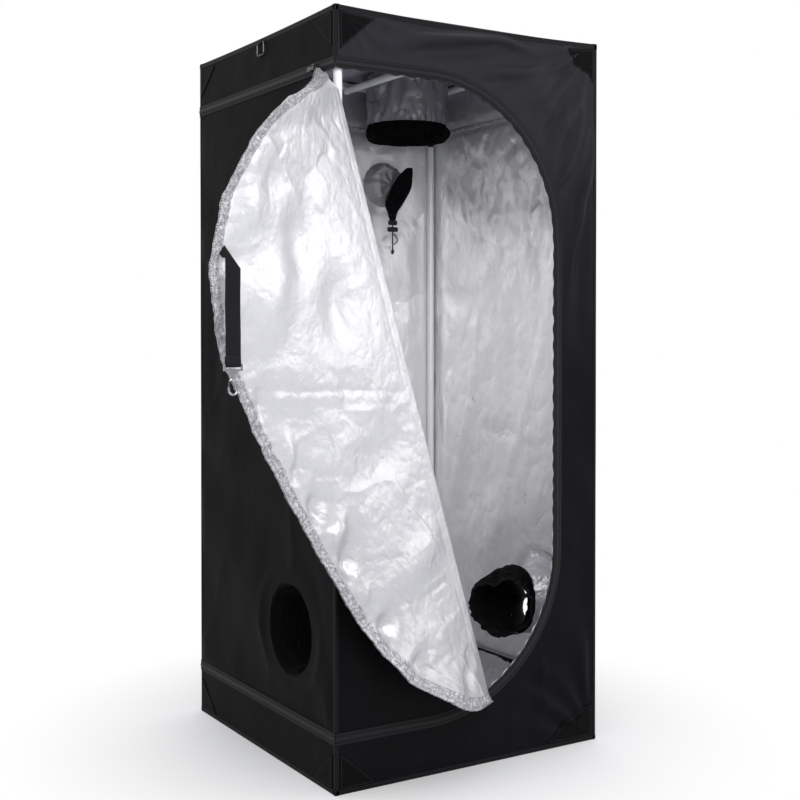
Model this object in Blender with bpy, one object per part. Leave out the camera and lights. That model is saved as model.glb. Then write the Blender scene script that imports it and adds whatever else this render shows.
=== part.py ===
"""Indoor grow tent with a wrap-round zipped door, modelled in metres, +Z up.

The front face looks along -Y and the door's side panel along -X.
The origin is the middle of the floor's underside.
"""
import math

import bmesh
import bpy
from mathutils import Vector

# Overall size of the tent
TENT_WIDTH = 0.600
TENT_DEPTH = 0.600
TENT_HEIGHT = 1.400

# Clearances and cutters
GAP = 0.0003
CUT_OVERRUN = 0.006

# Lined cloth of the walls, roof and floor
CLOTH = 0.002

# Frame tubes, their corners and the joint halfway up each pole
POLE_RADIUS = 0.008
POLE_WALL = 0.0009
POLE_JOINT_HEIGHT = 1.021
DRAWN_END_LENGTH = 0.030
CORNER_HALF = 0.0105
CORNER_BEVEL = 0.0025
PEG_LENGTH = 0.028
PEG_WALL_GAP = 0.0003

# Hanging bars, placed from the middle of the tent
BAR_PLACES = {"left": -0.130, "right": 0.050}
BAR_DROP = 0.012
BAR_HOOK_THICKNESS = 0.002
BAR_HOOK_WIDTH = 0.012
BAR_LUG_THICKNESS = 0.0034
BAR_LUG_REACH = 0.020
BAR_HOOK_WRAP = math.radians(190)

# Zip line of the door, measured from the floor, the roof and the front left edge
DOOR_BOTTOM = 0.100
DOOR_TOP_DROP = 0.102
DOOR_REACH = 0.500
DOOR_RADIUS = 0.300
ZIP_HALF_WIDTH = 0.011
ZIP_THICKNESS = 0.0022

# Fold of the opened door, from the top slider round the corner to the bottom slider
FOLD_BACK = 0.054
FOLD_CORNER_DROP = 0.152
FOLD_END_ANGLE = math.radians(-64.9)
FOLD_RADIUS = 0.006
FOLD_TAIL = 0.008
FOLD_END_OVERRUN = 0.004
FOLD_TIP_LENGTH = 0.060
FOLD_TIP_RISE = 0.047
FOLD_TIP_CLEARANCE = 0.004
FOLD_CORNER_RISE = 0.004
FLAP_CLOTH = 0.002
FLAP_HEM = 0.006
FLAP_BELLY = 0.008
FLAP_WAVE = 0.005
FLAP_WAVE_PITCH = 0.110
FLAP_WAVE_START_SHARE = 0.42
FLAP_ROWS = 44
FLAP_COLUMNS = 9
# How far the flap stands forward of the front, along its fold
FLAP_ANGLE_SHARES = (
    (-0.06, math.radians(38)), (0.00, math.radians(37)), (0.05, math.radians(30.5)),
    (0.12, math.radians(25.5)), (0.22, math.radians(22)), (0.35, math.radians(18)),
    (0.50, math.radians(15)), (0.75, math.radians(15)), (0.87, math.radians(25)),
    (0.93, math.radians(38)), (1.00, math.radians(41)),
)

# Zip sliders and their pull tabs
SLIDER_LENGTH = 0.012
SLIDER_WIDTH = 0.0125
SLIDER_BODY = 0.004
SLIDER_EAR_WIDTH = 0.0022
SLIDER_EAR_HEIGHT = 0.0034
SLIDER_CLEARANCE = 0.003
TAB_LENGTH = 0.026
TAB_THICKNESS = 0.0014
TAB_WAIST_SHARE = 0.62

# Ports: each hole's radius and its centre, the back one measured down from the roof
SIDE_PORT_RADIUS = 0.087
SIDE_PORT_BACK = 0.176
SIDE_PORT_HEIGHT = 0.261
ROOF_PORT_RADIUS = 0.094
ROOF_PORT_ACROSS = 0.452
ROOF_PORT_BACK = 0.480
BACK_PORT_RADIUS = 0.050
BACK_PORT_ACROSS = 0.460
BACK_PORT_DROP = 0.231
SLEEVE_CLOTH = 0.002
SLEEVE_FLANGE = 0.010
SLEEVE_SIDES = 24

# Side sleeves: how far each reaches in, turns aside and drops, then its rings as shares
LEFT_SLEEVE_REACH = 0.125
LEFT_SLEEVE_TURN = 0.006
LEFT_SLEEVE_DROP = 0.034
LEFT_SLEEVE_SHARES = (
    (0.27, 0.00, 0.03, 0.95), (0.54, 0.35, 0.24, 0.90), (0.79, 0.75, 0.58, 0.85),
    (1.00, 1.00, 1.00, 0.79),
)
RIGHT_SLEEVE_REACH = 0.148
RIGHT_SLEEVE_TURN = -0.059
RIGHT_SLEEVE_DROP = -0.003
RIGHT_SLEEVE_SHARES = (
    (0.30, 0.05, 0.10, 0.96), (0.57, 0.24, 0.40, 0.90), (0.81, 0.56, 0.75, 0.83),
    (1.00, 1.00, 1.00, 0.77),
)

# Roof sleeve, its drawn hem and the cord lock on the hem
ROOF_SLEEVE_LENGTH = 0.1077
ROOF_HEM_HEIGHT = 0.033
ROOF_LOCK_SIZE = (0.026, 0.014, 0.024)
ROOF_LOCK_SHARES = (0.03, -0.96)

# Back port's sleeve, drawn shut: its grey root and its black end
BACK_ROOT_SHARES = ((0.00, 1.00), (0.25, 0.97), (0.60, 0.88), (1.00, 0.66))
BACK_ROOT_LEAN = 0.010
BACK_END_SET_OFF = 0.048
BACK_END_DEPTH = 0.022
BACK_END_LENGTH = 0.1235
BACK_END_DROP = 0.086
BACK_END_LEAN = 0.0435
BACK_END_WIDTH = 0.024
# Rings of the black end as shares of its length, lean and half width
BACK_END_SHARES = (
    (1.00, 1.00, 0.33), (0.84, 0.74, 0.73), (0.59, 0.46, 1.00), (0.31, 0.03, 0.93),
    (0.14, -0.07, 0.52), (0.00, -0.07, 0.31),
)

# Cord lock under the drawn end, and its two cord strands
LOCK_BUTTON = (0.0225, 0.0085, 0.0115)
LOCK_BODY = (0.0260, 0.0100, 0.0108)
LOCK_GAP = 0.0045
LOCK_TRAVEL = 0.004
LOCK_BORE = 0.0022
STRAND_RADIUS = 0.0016
STRAND_LENGTH = 0.079
BOW_RADIUS = 0.0013
# The bowed strand's route, below and across from where it leaves the straight one
BOW_ROUTE = (
    (0.0000, 0.0032), (0.0028, 0.0060), (0.0060, 0.0096), (0.0095, 0.0122), (0.0130, 0.0132),
    (0.0165, 0.0122), (0.0195, 0.0096), (0.0222, 0.0062), (0.0245, 0.0034),
)
BOW_POINTS = 16

# Door strap, a strip of webbing with a sewn loop round its eye
STRAP_ALONG = 0.2095
STRAP_OUT = 0.3925
STRAP_WIDTH = 0.025
STRAP_THICKNESS = 0.002
STRAP_LENGTH = 0.1723
STRAP_SHIFT = 0.0138
STRAP_STAND_OFF = 0.0058
STRAP_HEM = 0.0135
# Slanted sewn top of the strap as shares of its width, from where it is sewn on
STRAP_TOP_SHARES = ((-0.02, 0.40), (-0.33, -0.09), (-0.15, -0.36))

# Swivel eye, snap hook and its gate
EYE_BAR = 0.0015
EYE_SIDE = 0.003
EYE_SLOT_HEIGHT = 0.005
EYE_SIDE_PLAY = 0.0005
EYE_NECK_WIDTH = 0.020
EYE_NECK_HEIGHT = 0.005
EYE_STEM_WIDTH = 0.0080
HOOK_WIRE = 0.0019
HOOK_HALF_WIDTH = 0.0070
HOOK_LENGTH = 0.033
HOOK_HEAD = 0.005
HOOK_SHOULDER = 0.0045
HOOK_SHOULDER_SHARE = 0.75
HOOK_TIP_RISE = 0.005
GATE_WIRE = 0.0013
HOOK_SIDES = 8

# Tie ring in its loop, under the roof's edge on the left wall
TIE_PLACE = -0.008
TIE_DROP = 0.010
TIE_RING_WIDTH = 0.028
TIE_RING_HEIGHT = 0.025
TIE_WIRE = 0.0015
TIE_LOOP_WIDTH = 0.014
TIE_LOOP_HEIGHT = 0.010
TIE_LOOP_DEPTH = 0.007

# Spill tray inside the frame
TRAY_HEIGHT = 0.110
TRAY_CLOTH = 0.002
TRAY_CLEARANCE = 0.001

# Smoothness of round shapes
ROUND_SIDES = 16
PORT_SIDES = 32
ARC_STEPS = 14
SMOOTH_ANGLE = math.radians(40)

# Places worked out from the sizes above
HALF_W = TENT_WIDTH / 2
HALF_D = TENT_DEPTH / 2
FRAME_INSET = CLOTH + GAP + CORNER_HALF
FRAME_X = HALF_W - FRAME_INSET
FRAME_Y = HALF_D - FRAME_INSET
FRAME_LOW = FRAME_INSET
FRAME_HIGH = TENT_HEIGHT - FRAME_INSET
PEG_RADIUS = POLE_RADIUS - POLE_WALL - PEG_WALL_GAP
DOOR_TOP = TENT_HEIGHT - DOOR_TOP_DROP
FOLD_CORNER_HEIGHT = TENT_HEIGHT - FOLD_CORNER_DROP
BACK_PORT_HEIGHT = TENT_HEIGHT - BACK_PORT_DROP
ARC_X = -HALF_W + DOOR_REACH - DOOR_RADIUS
ARC_LOW = DOOR_BOTTOM + DOOR_RADIUS
ARC_HIGH = DOOR_TOP - DOOR_RADIUS
ZIP_FACE = GAP + ZIP_THICKNESS
SLIDER_FACE = ZIP_FACE + GAP

COLOURS = {
    "steel": ((0.86, 0.87, 0.89), 0.35, 0.2),
    "corner": ((0.05, 0.05, 0.055), 0.45, 0.0),
    "black_cloth": ((0.022, 0.022, 0.025), 0.75, 0.0),
    "film": ((0.72, 0.73, 0.76), 0.28, 0.6),
    "zip": ((0.012, 0.012, 0.014), 0.6, 0.0),
    "webbing": ((0.02, 0.02, 0.022), 0.8, 0.0),
    "chrome": ((0.75, 0.76, 0.78), 0.15, 1.0),
    "plastic": ((0.015, 0.015, 0.016), 0.4, 0.0),
    "cord": ((0.014, 0.014, 0.015), 0.8, 0.0),
}


def clear_scene():
    for item in list(bpy.data.objects):
        bpy.data.objects.remove(item, do_unlink=True)


def material(kind, name):
    colour, roughness, metallic = COLOURS[kind]
    made = bpy.data.materials.new(name)
    made.use_nodes = True
    shader = made.node_tree.nodes["Principled BSDF"]
    shader.inputs["Base Color"].default_value = (*colour, 1)
    shader.inputs["Roughness"].default_value = roughness
    shader.inputs["Metallic"].default_value = metallic
    return made


def add(name, shape, kind, origin=(0, 0, 0), parent=None):
    """Turn a bmesh in world places into an object whose origin is given."""
    origin = Vector(origin)
    bmesh.ops.translate(shape, verts=shape.verts, vec=-origin)
    bmesh.ops.recalc_face_normals(shape, faces=shape.faces)
    mesh = bpy.data.meshes.new(name)
    shape.to_mesh(mesh)
    shape.free()
    mesh.shade_smooth()
    mesh.set_sharp_from_angle(angle=SMOOTH_ANGLE)
    mesh.materials.append(material(kind, name))
    item = bpy.data.objects.new(name, mesh)
    bpy.context.collection.objects.link(item)
    if parent is None:
        item.location = origin
    else:
        item.parent = parent
        item.location = origin - parent.location
    return item


def add_pivot(name, place):
    pivot = bpy.data.objects.new(name, None)
    pivot.location = place
    bpy.context.collection.objects.link(pivot)
    return pivot


def combine(item, shape, operation):
    """Join or cut an object with a hidden shape."""
    mesh = bpy.data.meshes.new(item.name + "_tool")
    bmesh.ops.recalc_face_normals(shape, faces=shape.faces)
    shape.to_mesh(mesh)
    shape.free()
    tool = bpy.data.objects.new(mesh.name, mesh)
    bpy.context.collection.objects.link(tool)
    tool.hide_render = True
    tool.display_type = "WIRE"
    change = item.modifiers.new(operation.lower(), "BOOLEAN")
    change.operation = operation
    change.object = tool
    return tool


def box(low, high):
    shape = bmesh.new()
    bmesh.ops.create_cube(shape, size=1)
    low, high = Vector(low), Vector(high)
    bmesh.ops.scale(shape, vec=high - low, verts=shape.verts)
    bmesh.ops.translate(shape, vec=(low + high) / 2, verts=shape.verts)
    return shape


def rounded_box(low, high, bevel):
    shape = box(low, high)
    bmesh.ops.bevel(
        shape, geom=shape.edges[:], offset=bevel, segments=2, profile=0.5, affect="EDGES")
    return shape


def extrude_outline(outline, place, start, end):
    """Sweep a closed outline between two levels; place maps (a, b, level) to a point."""
    shape = bmesh.new()
    near = [shape.verts.new(place(a, b, start)) for a, b in outline]
    far = [shape.verts.new(place(a, b, end)) for a, b in outline]
    shape.faces.new(near)
    shape.faces.new(far[::-1])
    count = len(outline)
    for i in range(count):
        j = (i + 1) % count
        shape.faces.new((near[i], far[i], far[j], near[j]))
    return shape


def along_y(a, b, level):
    return (a, level, b)


def along_x(a, b, level):
    return (level, a, b)


def along_z(a, b, level):
    return (a, b, level)


def skin_loops(loops, closed=False):
    """Skin a row of equal rings; the ends are capped unless the row closes on itself."""
    shape = bmesh.new()
    rings = [[shape.verts.new(point) for point in loop] for loop in loops]
    sides = len(loops[0])
    pairs = list(zip(rings, rings[1:]))
    if closed:
        pairs.append((rings[-1], rings[0]))
    for ring, after in pairs:
        for i in range(sides):
            j = (i + 1) % sides
            shape.faces.new((ring[i], ring[j], after[j], after[i]))
    if not closed:
        shape.faces.new(rings[0][::-1])
        shape.faces.new(rings[-1])
    return shape


def circle(centre, across, up, radius, sides):
    """Points of a circle in the plane of two unit vectors."""
    centre, across, up = Vector(centre), Vector(across), Vector(up)
    points = []
    for i in range(sides):
        turn = math.tau * i / sides
        points.append(centre + radius * (math.cos(turn) * across + math.sin(turn) * up))
    return points


def axes_for(direction):
    """Two unit vectors square to a direction."""
    direction = Vector(direction).normalized()
    helper = Vector((0, 0, 1)) if abs(direction.z) < 0.9 else Vector((1, 0, 0))
    across = direction.cross(helper).normalized()
    return across, across.cross(direction)


def turned(start, direction, profile, sides=ROUND_SIDES, closed=True):
    """Turn a profile of (distance, radius) pairs about a line."""
    direction = Vector(direction).normalized()
    across, up = axes_for(direction)
    loops = []
    for distance, radius in profile:
        loops.append(circle(Vector(start) + direction * distance, across, up, radius, sides))
    return skin_loops(loops, closed)


def rod(start, end, radius, sides=ROUND_SIDES):
    run = Vector(end) - Vector(start)
    return turned(start, run, ((0, radius), (run.length, radius)), sides, closed=False)


def bent_rod(points, radius, sides, closed=False):
    """A round wire along points that lie in one plane."""
    points = [Vector(p) for p in points]
    count = len(points)
    side = (points[1] - points[0]).cross(points[2] - points[1]).normalized()
    loops = []
    for i, point in enumerate(points):
        before = points[i - 1] if closed or i > 0 else point
        after = points[(i + 1) % count] if closed or i < count - 1 else point
        run = (after - before).normalized()
        loops.append(circle(point, side, run.cross(side), radius, sides))
    return skin_loops(loops, closed)


# Frame

def make_tube(name, start, end, origin=None):
    """An open tube between two corners."""
    start, end = Vector(start), Vector(end)
    length = (end - start).length
    bore = POLE_RADIUS - POLE_WALL
    profile = ((0, POLE_RADIUS), (length, POLE_RADIUS), (length, bore), (0, bore))
    add(name, turned(start, end - start, profile), "steel", origin or start)


def make_rails():
    clear = CORNER_HALF + GAP
    for level, height in (("bottom", FRAME_LOW), ("top", FRAME_HIGH)):
        for side, y in (("front", -FRAME_Y), ("back", FRAME_Y)):
            start = (-FRAME_X + clear, y, height)
            make_tube(f"rail_{level}_{side}", start, (FRAME_X - clear, y, height))
        for side, x in (("left", -FRAME_X), ("right", FRAME_X)):
            start = (x, -FRAME_Y + clear, height)
            make_tube(f"rail_{level}_{side}", start, (x, FRAME_Y - clear, height))


def corner_places():
    for end, y in (("front", -FRAME_Y), ("back", FRAME_Y)):
        for side, x in (("left", -FRAME_X), ("right", FRAME_X)):
            yield f"{end}_{side}", x, y


def make_poles():
    """Each pole has a lower section whose drawn end goes up into the upper section."""
    base = FRAME_LOW + CORNER_HALF + GAP
    shoulder = POLE_JOINT_HEIGHT - base
    bore = POLE_RADIUS - POLE_WALL
    drawn_bore = PEG_RADIUS - POLE_WALL
    tip = shoulder + DRAWN_END_LENGTH
    lower = (
        (0, POLE_RADIUS), (shoulder, POLE_RADIUS), (shoulder, PEG_RADIUS), (tip, PEG_RADIUS),
        (tip, drawn_bore), (shoulder - POLE_WALL, drawn_bore), (shoulder - POLE_WALL, bore), (0, bore),
    )
    for place, x, y in corner_places():
        foot = (x, y, base)
        add(f"pole_lower_{place}", turned(foot, (0, 0, 1), lower), "steel", foot)
        seat = (x, y, POLE_JOINT_HEIGHT + GAP)
        make_tube(f"pole_upper_{place}", seat, (x, y, FRAME_HIGH - CORNER_HALF - GAP))


def make_corners():
    """Corner blocks with a peg into each of the three tubes that meet there."""
    for level, z, rise in (("bottom", FRAME_LOW, 1), ("top", FRAME_HIGH, -1)):
        for place, x, y in corner_places():
            centre = Vector((x, y, z))
            half = Vector((CORNER_HALF, CORNER_HALF, CORNER_HALF))
            block = add(
                f"corner_{level}_{place}", rounded_box(centre - half, centre + half, CORNER_BEVEL),
                "corner", centre)
            for run in ((-math.copysign(1, x), 0, 0), (0, -math.copysign(1, y), 0), (0, 0, rise)):
                start = centre + Vector(run) * (CORNER_HALF / 2)
                end = centre + Vector(run) * (CORNER_HALF + PEG_LENGTH)
                combine(block, rod(start, end, PEG_RADIUS), "UNION")


def bar_hook(side, x):
    """A strap over a top rail, with a lug that carries the bar below it."""
    inner = POLE_RADIUS + GAP
    outer = inner + BAR_HOOK_THICKNESS
    lug = inner + BAR_LUG_THICKNESS
    outline = []
    for i in range(ARC_STEPS + 1):
        turn = BAR_HOOK_WRAP * (1 - i / ARC_STEPS)
        outline.append((outer * math.cos(turn), outer * math.sin(turn)))
    outline += [(lug, -BAR_HOOK_THICKNESS), (lug, -BAR_LUG_REACH), (inner, -BAR_LUG_REACH)]
    for i in range(ARC_STEPS + 1):
        turn = BAR_HOOK_WRAP * i / ARC_STEPS
        outline.append((inner * math.cos(turn), inner * math.sin(turn)))
    half = BAR_HOOK_WIDTH / 2

    def place(a, b, level):
        return (level, side * (FRAME_Y - a), FRAME_HIGH + b)

    return extrude_outline(outline, place, x - half, x + half)


def make_hanging_bars():
    reach = FRAME_Y - POLE_RADIUS - GAP - BAR_LUG_THICKNESS / 2
    height = FRAME_HIGH - BAR_DROP
    bore = POLE_RADIUS - POLE_WALL
    for side, x in BAR_PLACES.items():
        start = Vector((x, -reach, height))
        profile = ((0, POLE_RADIUS), (2 * reach, POLE_RADIUS), (2 * reach, bore), (0, bore))
        bar = add(f"hanging_bar_{side}", turned(start, (0, 1, 0), profile), "steel", start)
        combine(bar, bar_hook(-1, x), "UNION")
        combine(bar, bar_hook(1, x), "UNION")


# Cover

def door_outline(offset, left):
    """The door's zip line moved outwards, from its top left to its bottom left end."""
    radius = DOOR_RADIUS + offset
    points = [(left, DOOR_TOP + offset)]
    for i in range(ARC_STEPS + 1):
        turn = math.pi / 2 * (1 - i / ARC_STEPS)
        points.append((ARC_X + radius * math.cos(turn), ARC_HIGH + radius * math.sin(turn)))
    for i in range(ARC_STEPS + 1):
        turn = -math.pi / 2 * i / ARC_STEPS
        points.append((ARC_X + radius * math.cos(turn), ARC_LOW + radius * math.sin(turn)))
    points.append((left, DOOR_BOTTOM - offset))
    return points


def behind_fold(outline):
    """The part of the door's outline on the zipped side of the fold."""
    top, _, width, _ = fold_line()
    kept = [(top.x, top.z)]
    places = [(Vector((a, 0, b)) - top).dot(width) for a, b in outline]
    corners = list(zip(outline, places))
    for ((a, b), before), ((c, d), after) in zip(corners, corners[1:]):
        if after >= 0:
            continue
        if before > 0 and kept[-1][1] > ARC_LOW:
            share = before / (before - after)
            kept.append((a + (c - a) * share, b + (d - b) * share))
        if d < ARC_LOW:
            kept.append((c, d))
    return kept


def port_centres():
    return {
        "left": Vector((-HALF_W, -HALF_D + SIDE_PORT_BACK, SIDE_PORT_HEIGHT)),
        "right": Vector((HALF_W, -HALF_D + SIDE_PORT_BACK, SIDE_PORT_HEIGHT)),
        "roof": Vector((-HALF_W + ROOF_PORT_ACROSS, -HALF_D + ROOF_PORT_BACK, TENT_HEIGHT)),
        "back": Vector((-HALF_W + BACK_PORT_ACROSS, HALF_D, BACK_PORT_HEIGHT)),
    }


def cut_port(panel, centre, run, radius):
    """Cut a round port through a wall; run points into the tent."""
    run = Vector(run)
    start = centre - run * CUT_OVERRUN
    end = centre + run * (CLOTH + CUT_OVERRUN)
    combine(panel, rod(start, end, radius, PORT_SIDES), "DIFFERENCE")


def make_roof_and_floor(ports):
    roof = add(
        "panel_roof",
        box((-HALF_W, -HALF_D, TENT_HEIGHT - CLOTH), (HALF_W, HALF_D, TENT_HEIGHT)), "black_cloth")
    cut_port(roof, ports["roof"], (0, 0, -1), ROOF_PORT_RADIUS)
    add("panel_floor", box((-HALF_W, -HALF_D, 0), (HALF_W, HALF_D, CLOTH)), "black_cloth")


def make_walls(ports):
    low = CLOTH + GAP
    high = TENT_HEIGHT - CLOTH - GAP
    side = HALF_D - CLOTH - GAP
    back = add(
        "panel_back", box((-HALF_W, HALF_D - CLOTH, low), (HALF_W, HALF_D, high)), "black_cloth")
    cut_port(back, ports["back"], (0, -1, 0), BACK_PORT_RADIUS)
    right = add(
        "panel_right", box((HALF_W - CLOTH, -side, low), (HALF_W, side, high)), "black_cloth")
    cut_port(right, ports["right"], (-1, 0, 0), SIDE_PORT_RADIUS)
    outer, inner = -HALF_W, -HALF_W + CLOTH
    add("band_left_top", box((outer, -side, DOOR_TOP + GAP / 2), (inner, side, high)), "black_cloth")
    add("band_left_bottom", box((outer, -side, low), (inner, side, DOOR_BOTTOM - GAP / 2)),
        "black_cloth")


def make_front(ports):
    low = CLOTH + GAP
    high = TENT_HEIGHT - CLOTH - GAP
    edge = GAP / 2
    opening = door_outline(edge, -HALF_W)
    outline = opening + [(-HALF_W, low), (HALF_W, low), (HALF_W, high), (-HALF_W, high)]
    add("panel_front", extrude_outline(outline, along_y, -HALF_D, -HALF_D + CLOTH), "black_cloth")

    closed = behind_fold(door_outline(-edge, -HALF_W))
    add("door_front_panel", extrude_outline(closed, along_y, -HALF_D, -HALF_D + CLOTH),
        "black_cloth")

    side = HALF_D - CLOTH - GAP
    outline = [
        (-side, DOOR_BOTTOM + edge), (side, DOOR_BOTTOM + edge), (side, DOOR_TOP - edge),
        (-HALF_D + FOLD_BACK, DOOR_TOP - edge), (-side, FOLD_CORNER_HEIGHT),
    ]
    panel = add("door_side_panel",
                extrude_outline(outline, along_x, -HALF_W, -HALF_W + CLOTH), "black_cloth")
    cut_port(panel, ports["left"], (1, 0, 0), SIDE_PORT_RADIUS)


def make_zip_bands():
    outer = door_outline(ZIP_HALF_WIDTH, -HALF_W)
    inner = door_outline(-ZIP_HALF_WIDTH, -HALF_W)
    face = -HALF_D - GAP
    add("zip_front", extrude_outline(outer + inner[::-1], along_y, face - ZIP_THICKNESS, face), "zip")
    face = -HALF_W - GAP
    for level, height in (("top", DOOR_TOP), ("bottom", DOOR_BOTTOM)):
        low = (face - ZIP_THICKNESS, -HALF_D, height - ZIP_HALF_WIDTH)
        high = (face, HALF_D, height + ZIP_HALF_WIDTH)
        add(f"zip_left_{level}", box(low, high), "zip")


def make_tray():
    half_x = FRAME_X - CORNER_HALF - TRAY_CLEARANCE
    half_y = FRAME_Y - CORNER_HALF - TRAY_CLEARANCE
    floor = CLOTH + GAP
    loops = []
    for inset, height in ((0, 0), (0, TRAY_HEIGHT), (TRAY_CLOTH, TRAY_HEIGHT), (TRAY_CLOTH, TRAY_CLOTH)):
        x, y, z = half_x - inset, half_y - inset, floor + height
        loops.append([(-x, -y, z), (x, -y, z), (x, y, z), (-x, y, z)])
    add("spill_tray", skin_loops(loops), "film", (0, 0, floor))


# Opened part of the door

def fold_line():
    """The fold on the front face: its top, unit run, unit width direction and length."""
    top = Vector((-HALF_W, 0, FOLD_CORNER_HEIGHT))
    end = Vector((
        ARC_X + DOOR_RADIUS * math.cos(FOLD_END_ANGLE), 0,
        ARC_LOW + DOOR_RADIUS * math.sin(FOLD_END_ANGLE)))
    run = (end - top).normalized()
    return top, run, Vector((-run.z, 0, run.x)), (end - top).length


def fold_depth():
    """Where the fold's centre lies in front of the tent's middle."""
    return -HALF_D - ZIP_FACE - 2 * GAP - FLAP_CLOTH / 2 - FOLD_RADIUS


def fold_centre(along):
    """The centre of the rolled fold; it bends round the corner above the front's part."""
    top, run, width, _ = fold_line()
    start = top - width * FOLD_RADIUS
    start.y = fold_depth()
    if along >= 0:
        return start + run * along
    share = along / -FOLD_TIP_LENGTH
    aside = -HALF_W - (ZIP_FACE + 2 * GAP + FLAP_CLOTH + FOLD_RADIUS)
    knee = Vector((aside, start.y, start.z + FOLD_CORNER_RISE))
    tip = Vector((aside, -HALF_D + FOLD_BACK - FOLD_TIP_CLEARANCE, start.z + FOLD_TIP_RISE))
    return (1 - share) ** 2 * start + 2 * share * (1 - share) * knee + share ** 2 * tip


def interpolate(table, place):
    for (a, low), (b, high) in zip(table, table[1:]):
        if place <= b:
            share = max(0, (place - a) / (b - a))
            share = share * share * (3 - 2 * share)
            return low + (high - low) * share
    return table[-1][1]


def in_door(point):
    """Whether a point of the unfolded door lies within its zip line and hem."""
    x, z = point.x, point.z
    radius = DOOR_RADIUS + FLAP_HEM
    if x > ARC_X and z > ARC_HIGH:
        return math.hypot(x - ARC_X, z - ARC_HIGH) < radius
    if x > ARC_X and z < ARC_LOW:
        return math.hypot(x - ARC_X, z - ARC_LOW) < radius
    return x < -HALF_W + DOOR_REACH + FLAP_HEM and z < DOOR_TOP + FLAP_HEM


def flap_width(along):
    """How wide the flat door is, square to the fold, at a place along it."""
    top, run, width, _ = fold_line()
    low, high = -DOOR_RADIUS / 4, 2 * DOOR_RADIUS
    for _ in range(36):
        middle = (low + high) / 2
        if in_door(top + run * along + width * middle):
            low = middle
        else:
            high = middle
    return low


def flap_point(along, out, reach):
    """A place on the flap's middle surface, and the side that faces forward."""
    _, _, width, length = fold_line()
    angle = interpolate(FLAP_ANGLE_SHARES, along / length)
    forward = Vector((0, -1, 0))
    away = -width * math.cos(angle) + forward * math.sin(angle)
    face = forward * math.cos(angle) + width * math.sin(angle)
    if along < 0:
        out += -along * FOLD_BACK / math.hypot(FOLD_BACK, FOLD_CORNER_DROP)
    share = min(1, max(0, out / reach))
    start = FLAP_WAVE_START_SHARE * length
    swell = max(0, min(1, (along - start) / FLAP_WAVE_PITCH))
    wave = FLAP_WAVE * swell * share ** 2 * math.sin(math.tau * along / FLAP_WAVE_PITCH)
    lift = FLAP_BELLY * math.sin(math.pi * share) + wave
    return fold_centre(along) + face * (FOLD_RADIUS + lift) + away * out, face


def tail_level(along):
    """How far behind the fold's centre the flap's inner edge lies; it rises over the zip."""
    length = fold_line()[3]
    share = (along - length) / (2 * ZIP_HALF_WIDTH) + 2
    share = max(0, min(1, share))
    level = -HALF_D - GAP - FLAP_CLOTH / 2 - fold_depth()
    return level - share * (ZIP_THICKNESS + GAP)


def flap_section(along):
    """Middle points and unit normals across the flap, from the wall round the fold to the hem."""
    _, _, width, length = fold_line()
    centre = fold_centre(along)
    inward = Vector((0, 1, 0))
    wall = tail_level(along)
    slope = Vector((FOLD_TAIL, FOLD_RADIUS - wall)).normalized()
    points = [centre - width * FOLD_TAIL + inward * wall]
    normals = [inward * slope.x - width * slope.y]
    angle = interpolate(FLAP_ANGLE_SHARES, along / length)
    for i in range(5):
        turn = math.pi / 2 + (angle - math.pi) * i / 4
        side = width * math.cos(turn) + inward * math.sin(turn)
        points.append(centre + side * FOLD_RADIUS)
        normals.append(side)
    reach = flap_width(along)
    for i in range(1, FLAP_COLUMNS + 1):
        point, face = flap_point(along, reach * i / FLAP_COLUMNS, reach)
        points.append(point)
        normals.append(face)
    return points, normals


def make_flap():
    length = fold_line()[3]
    start, end = -FOLD_TIP_LENGTH, length + FOLD_END_OVERRUN
    loops = []
    for i in range(FLAP_ROWS + 1):
        share = i / FLAP_ROWS
        along = start + (end - start) * share
        points, normals = flap_section(along)
        half = FLAP_CLOTH / 2
        front = [p + n * half for p, n in zip(points, normals)]
        back = [p - n * half for p, n in zip(points, normals)]
        loops.append(front + back[::-1])
    shape = bmesh.new()
    rings = [[shape.verts.new(point) for point in loop] for loop in loops]
    sides = len(loops[0])
    for ring, after in zip(rings, rings[1:]):
        for i in range(sides):
            j = (i + 1) % sides
            shape.faces.new((ring[i], ring[j], after[j], after[i]))
    for ring in (rings[0], rings[-1]):
        for i in range(sides // 2 - 1):
            shape.faces.new((ring[i], ring[i + 1], ring[sides - 2 - i], ring[sides - 1 - i]))
    return add("door_flap", shape, "film", fold_centre(0))


# Sliders

def slider_outline():
    half = SLIDER_WIDTH / 2
    inner = half - SLIDER_EAR_WIDTH
    top = SLIDER_BODY + SLIDER_EAR_HEIGHT
    return [
        (-half, 0), (half, 0), (half, top), (inner, top), (inner, SLIDER_BODY),
        (-inner, SLIDER_BODY), (-inner, top), (-half, top),
    ]


def tab_outline():
    """A pull tab with a round end at its pivot and a slight waist."""
    half = SLIDER_WIDTH / 2 - SLIDER_EAR_WIDTH - GAP
    waist = half * TAB_WAIST_SHARE
    points = [(0, -half), (TAB_LENGTH / 3, -waist), (TAB_LENGTH / 2, -half)]
    for i in range(7):
        turn = math.pi * (i / 6 - 0.5)
        points.append((TAB_LENGTH - half + half * math.cos(turn), half * math.sin(turn)))
    return points + [(TAB_LENGTH / 2, half), (TAB_LENGTH / 3, waist), (0, half)]


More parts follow.
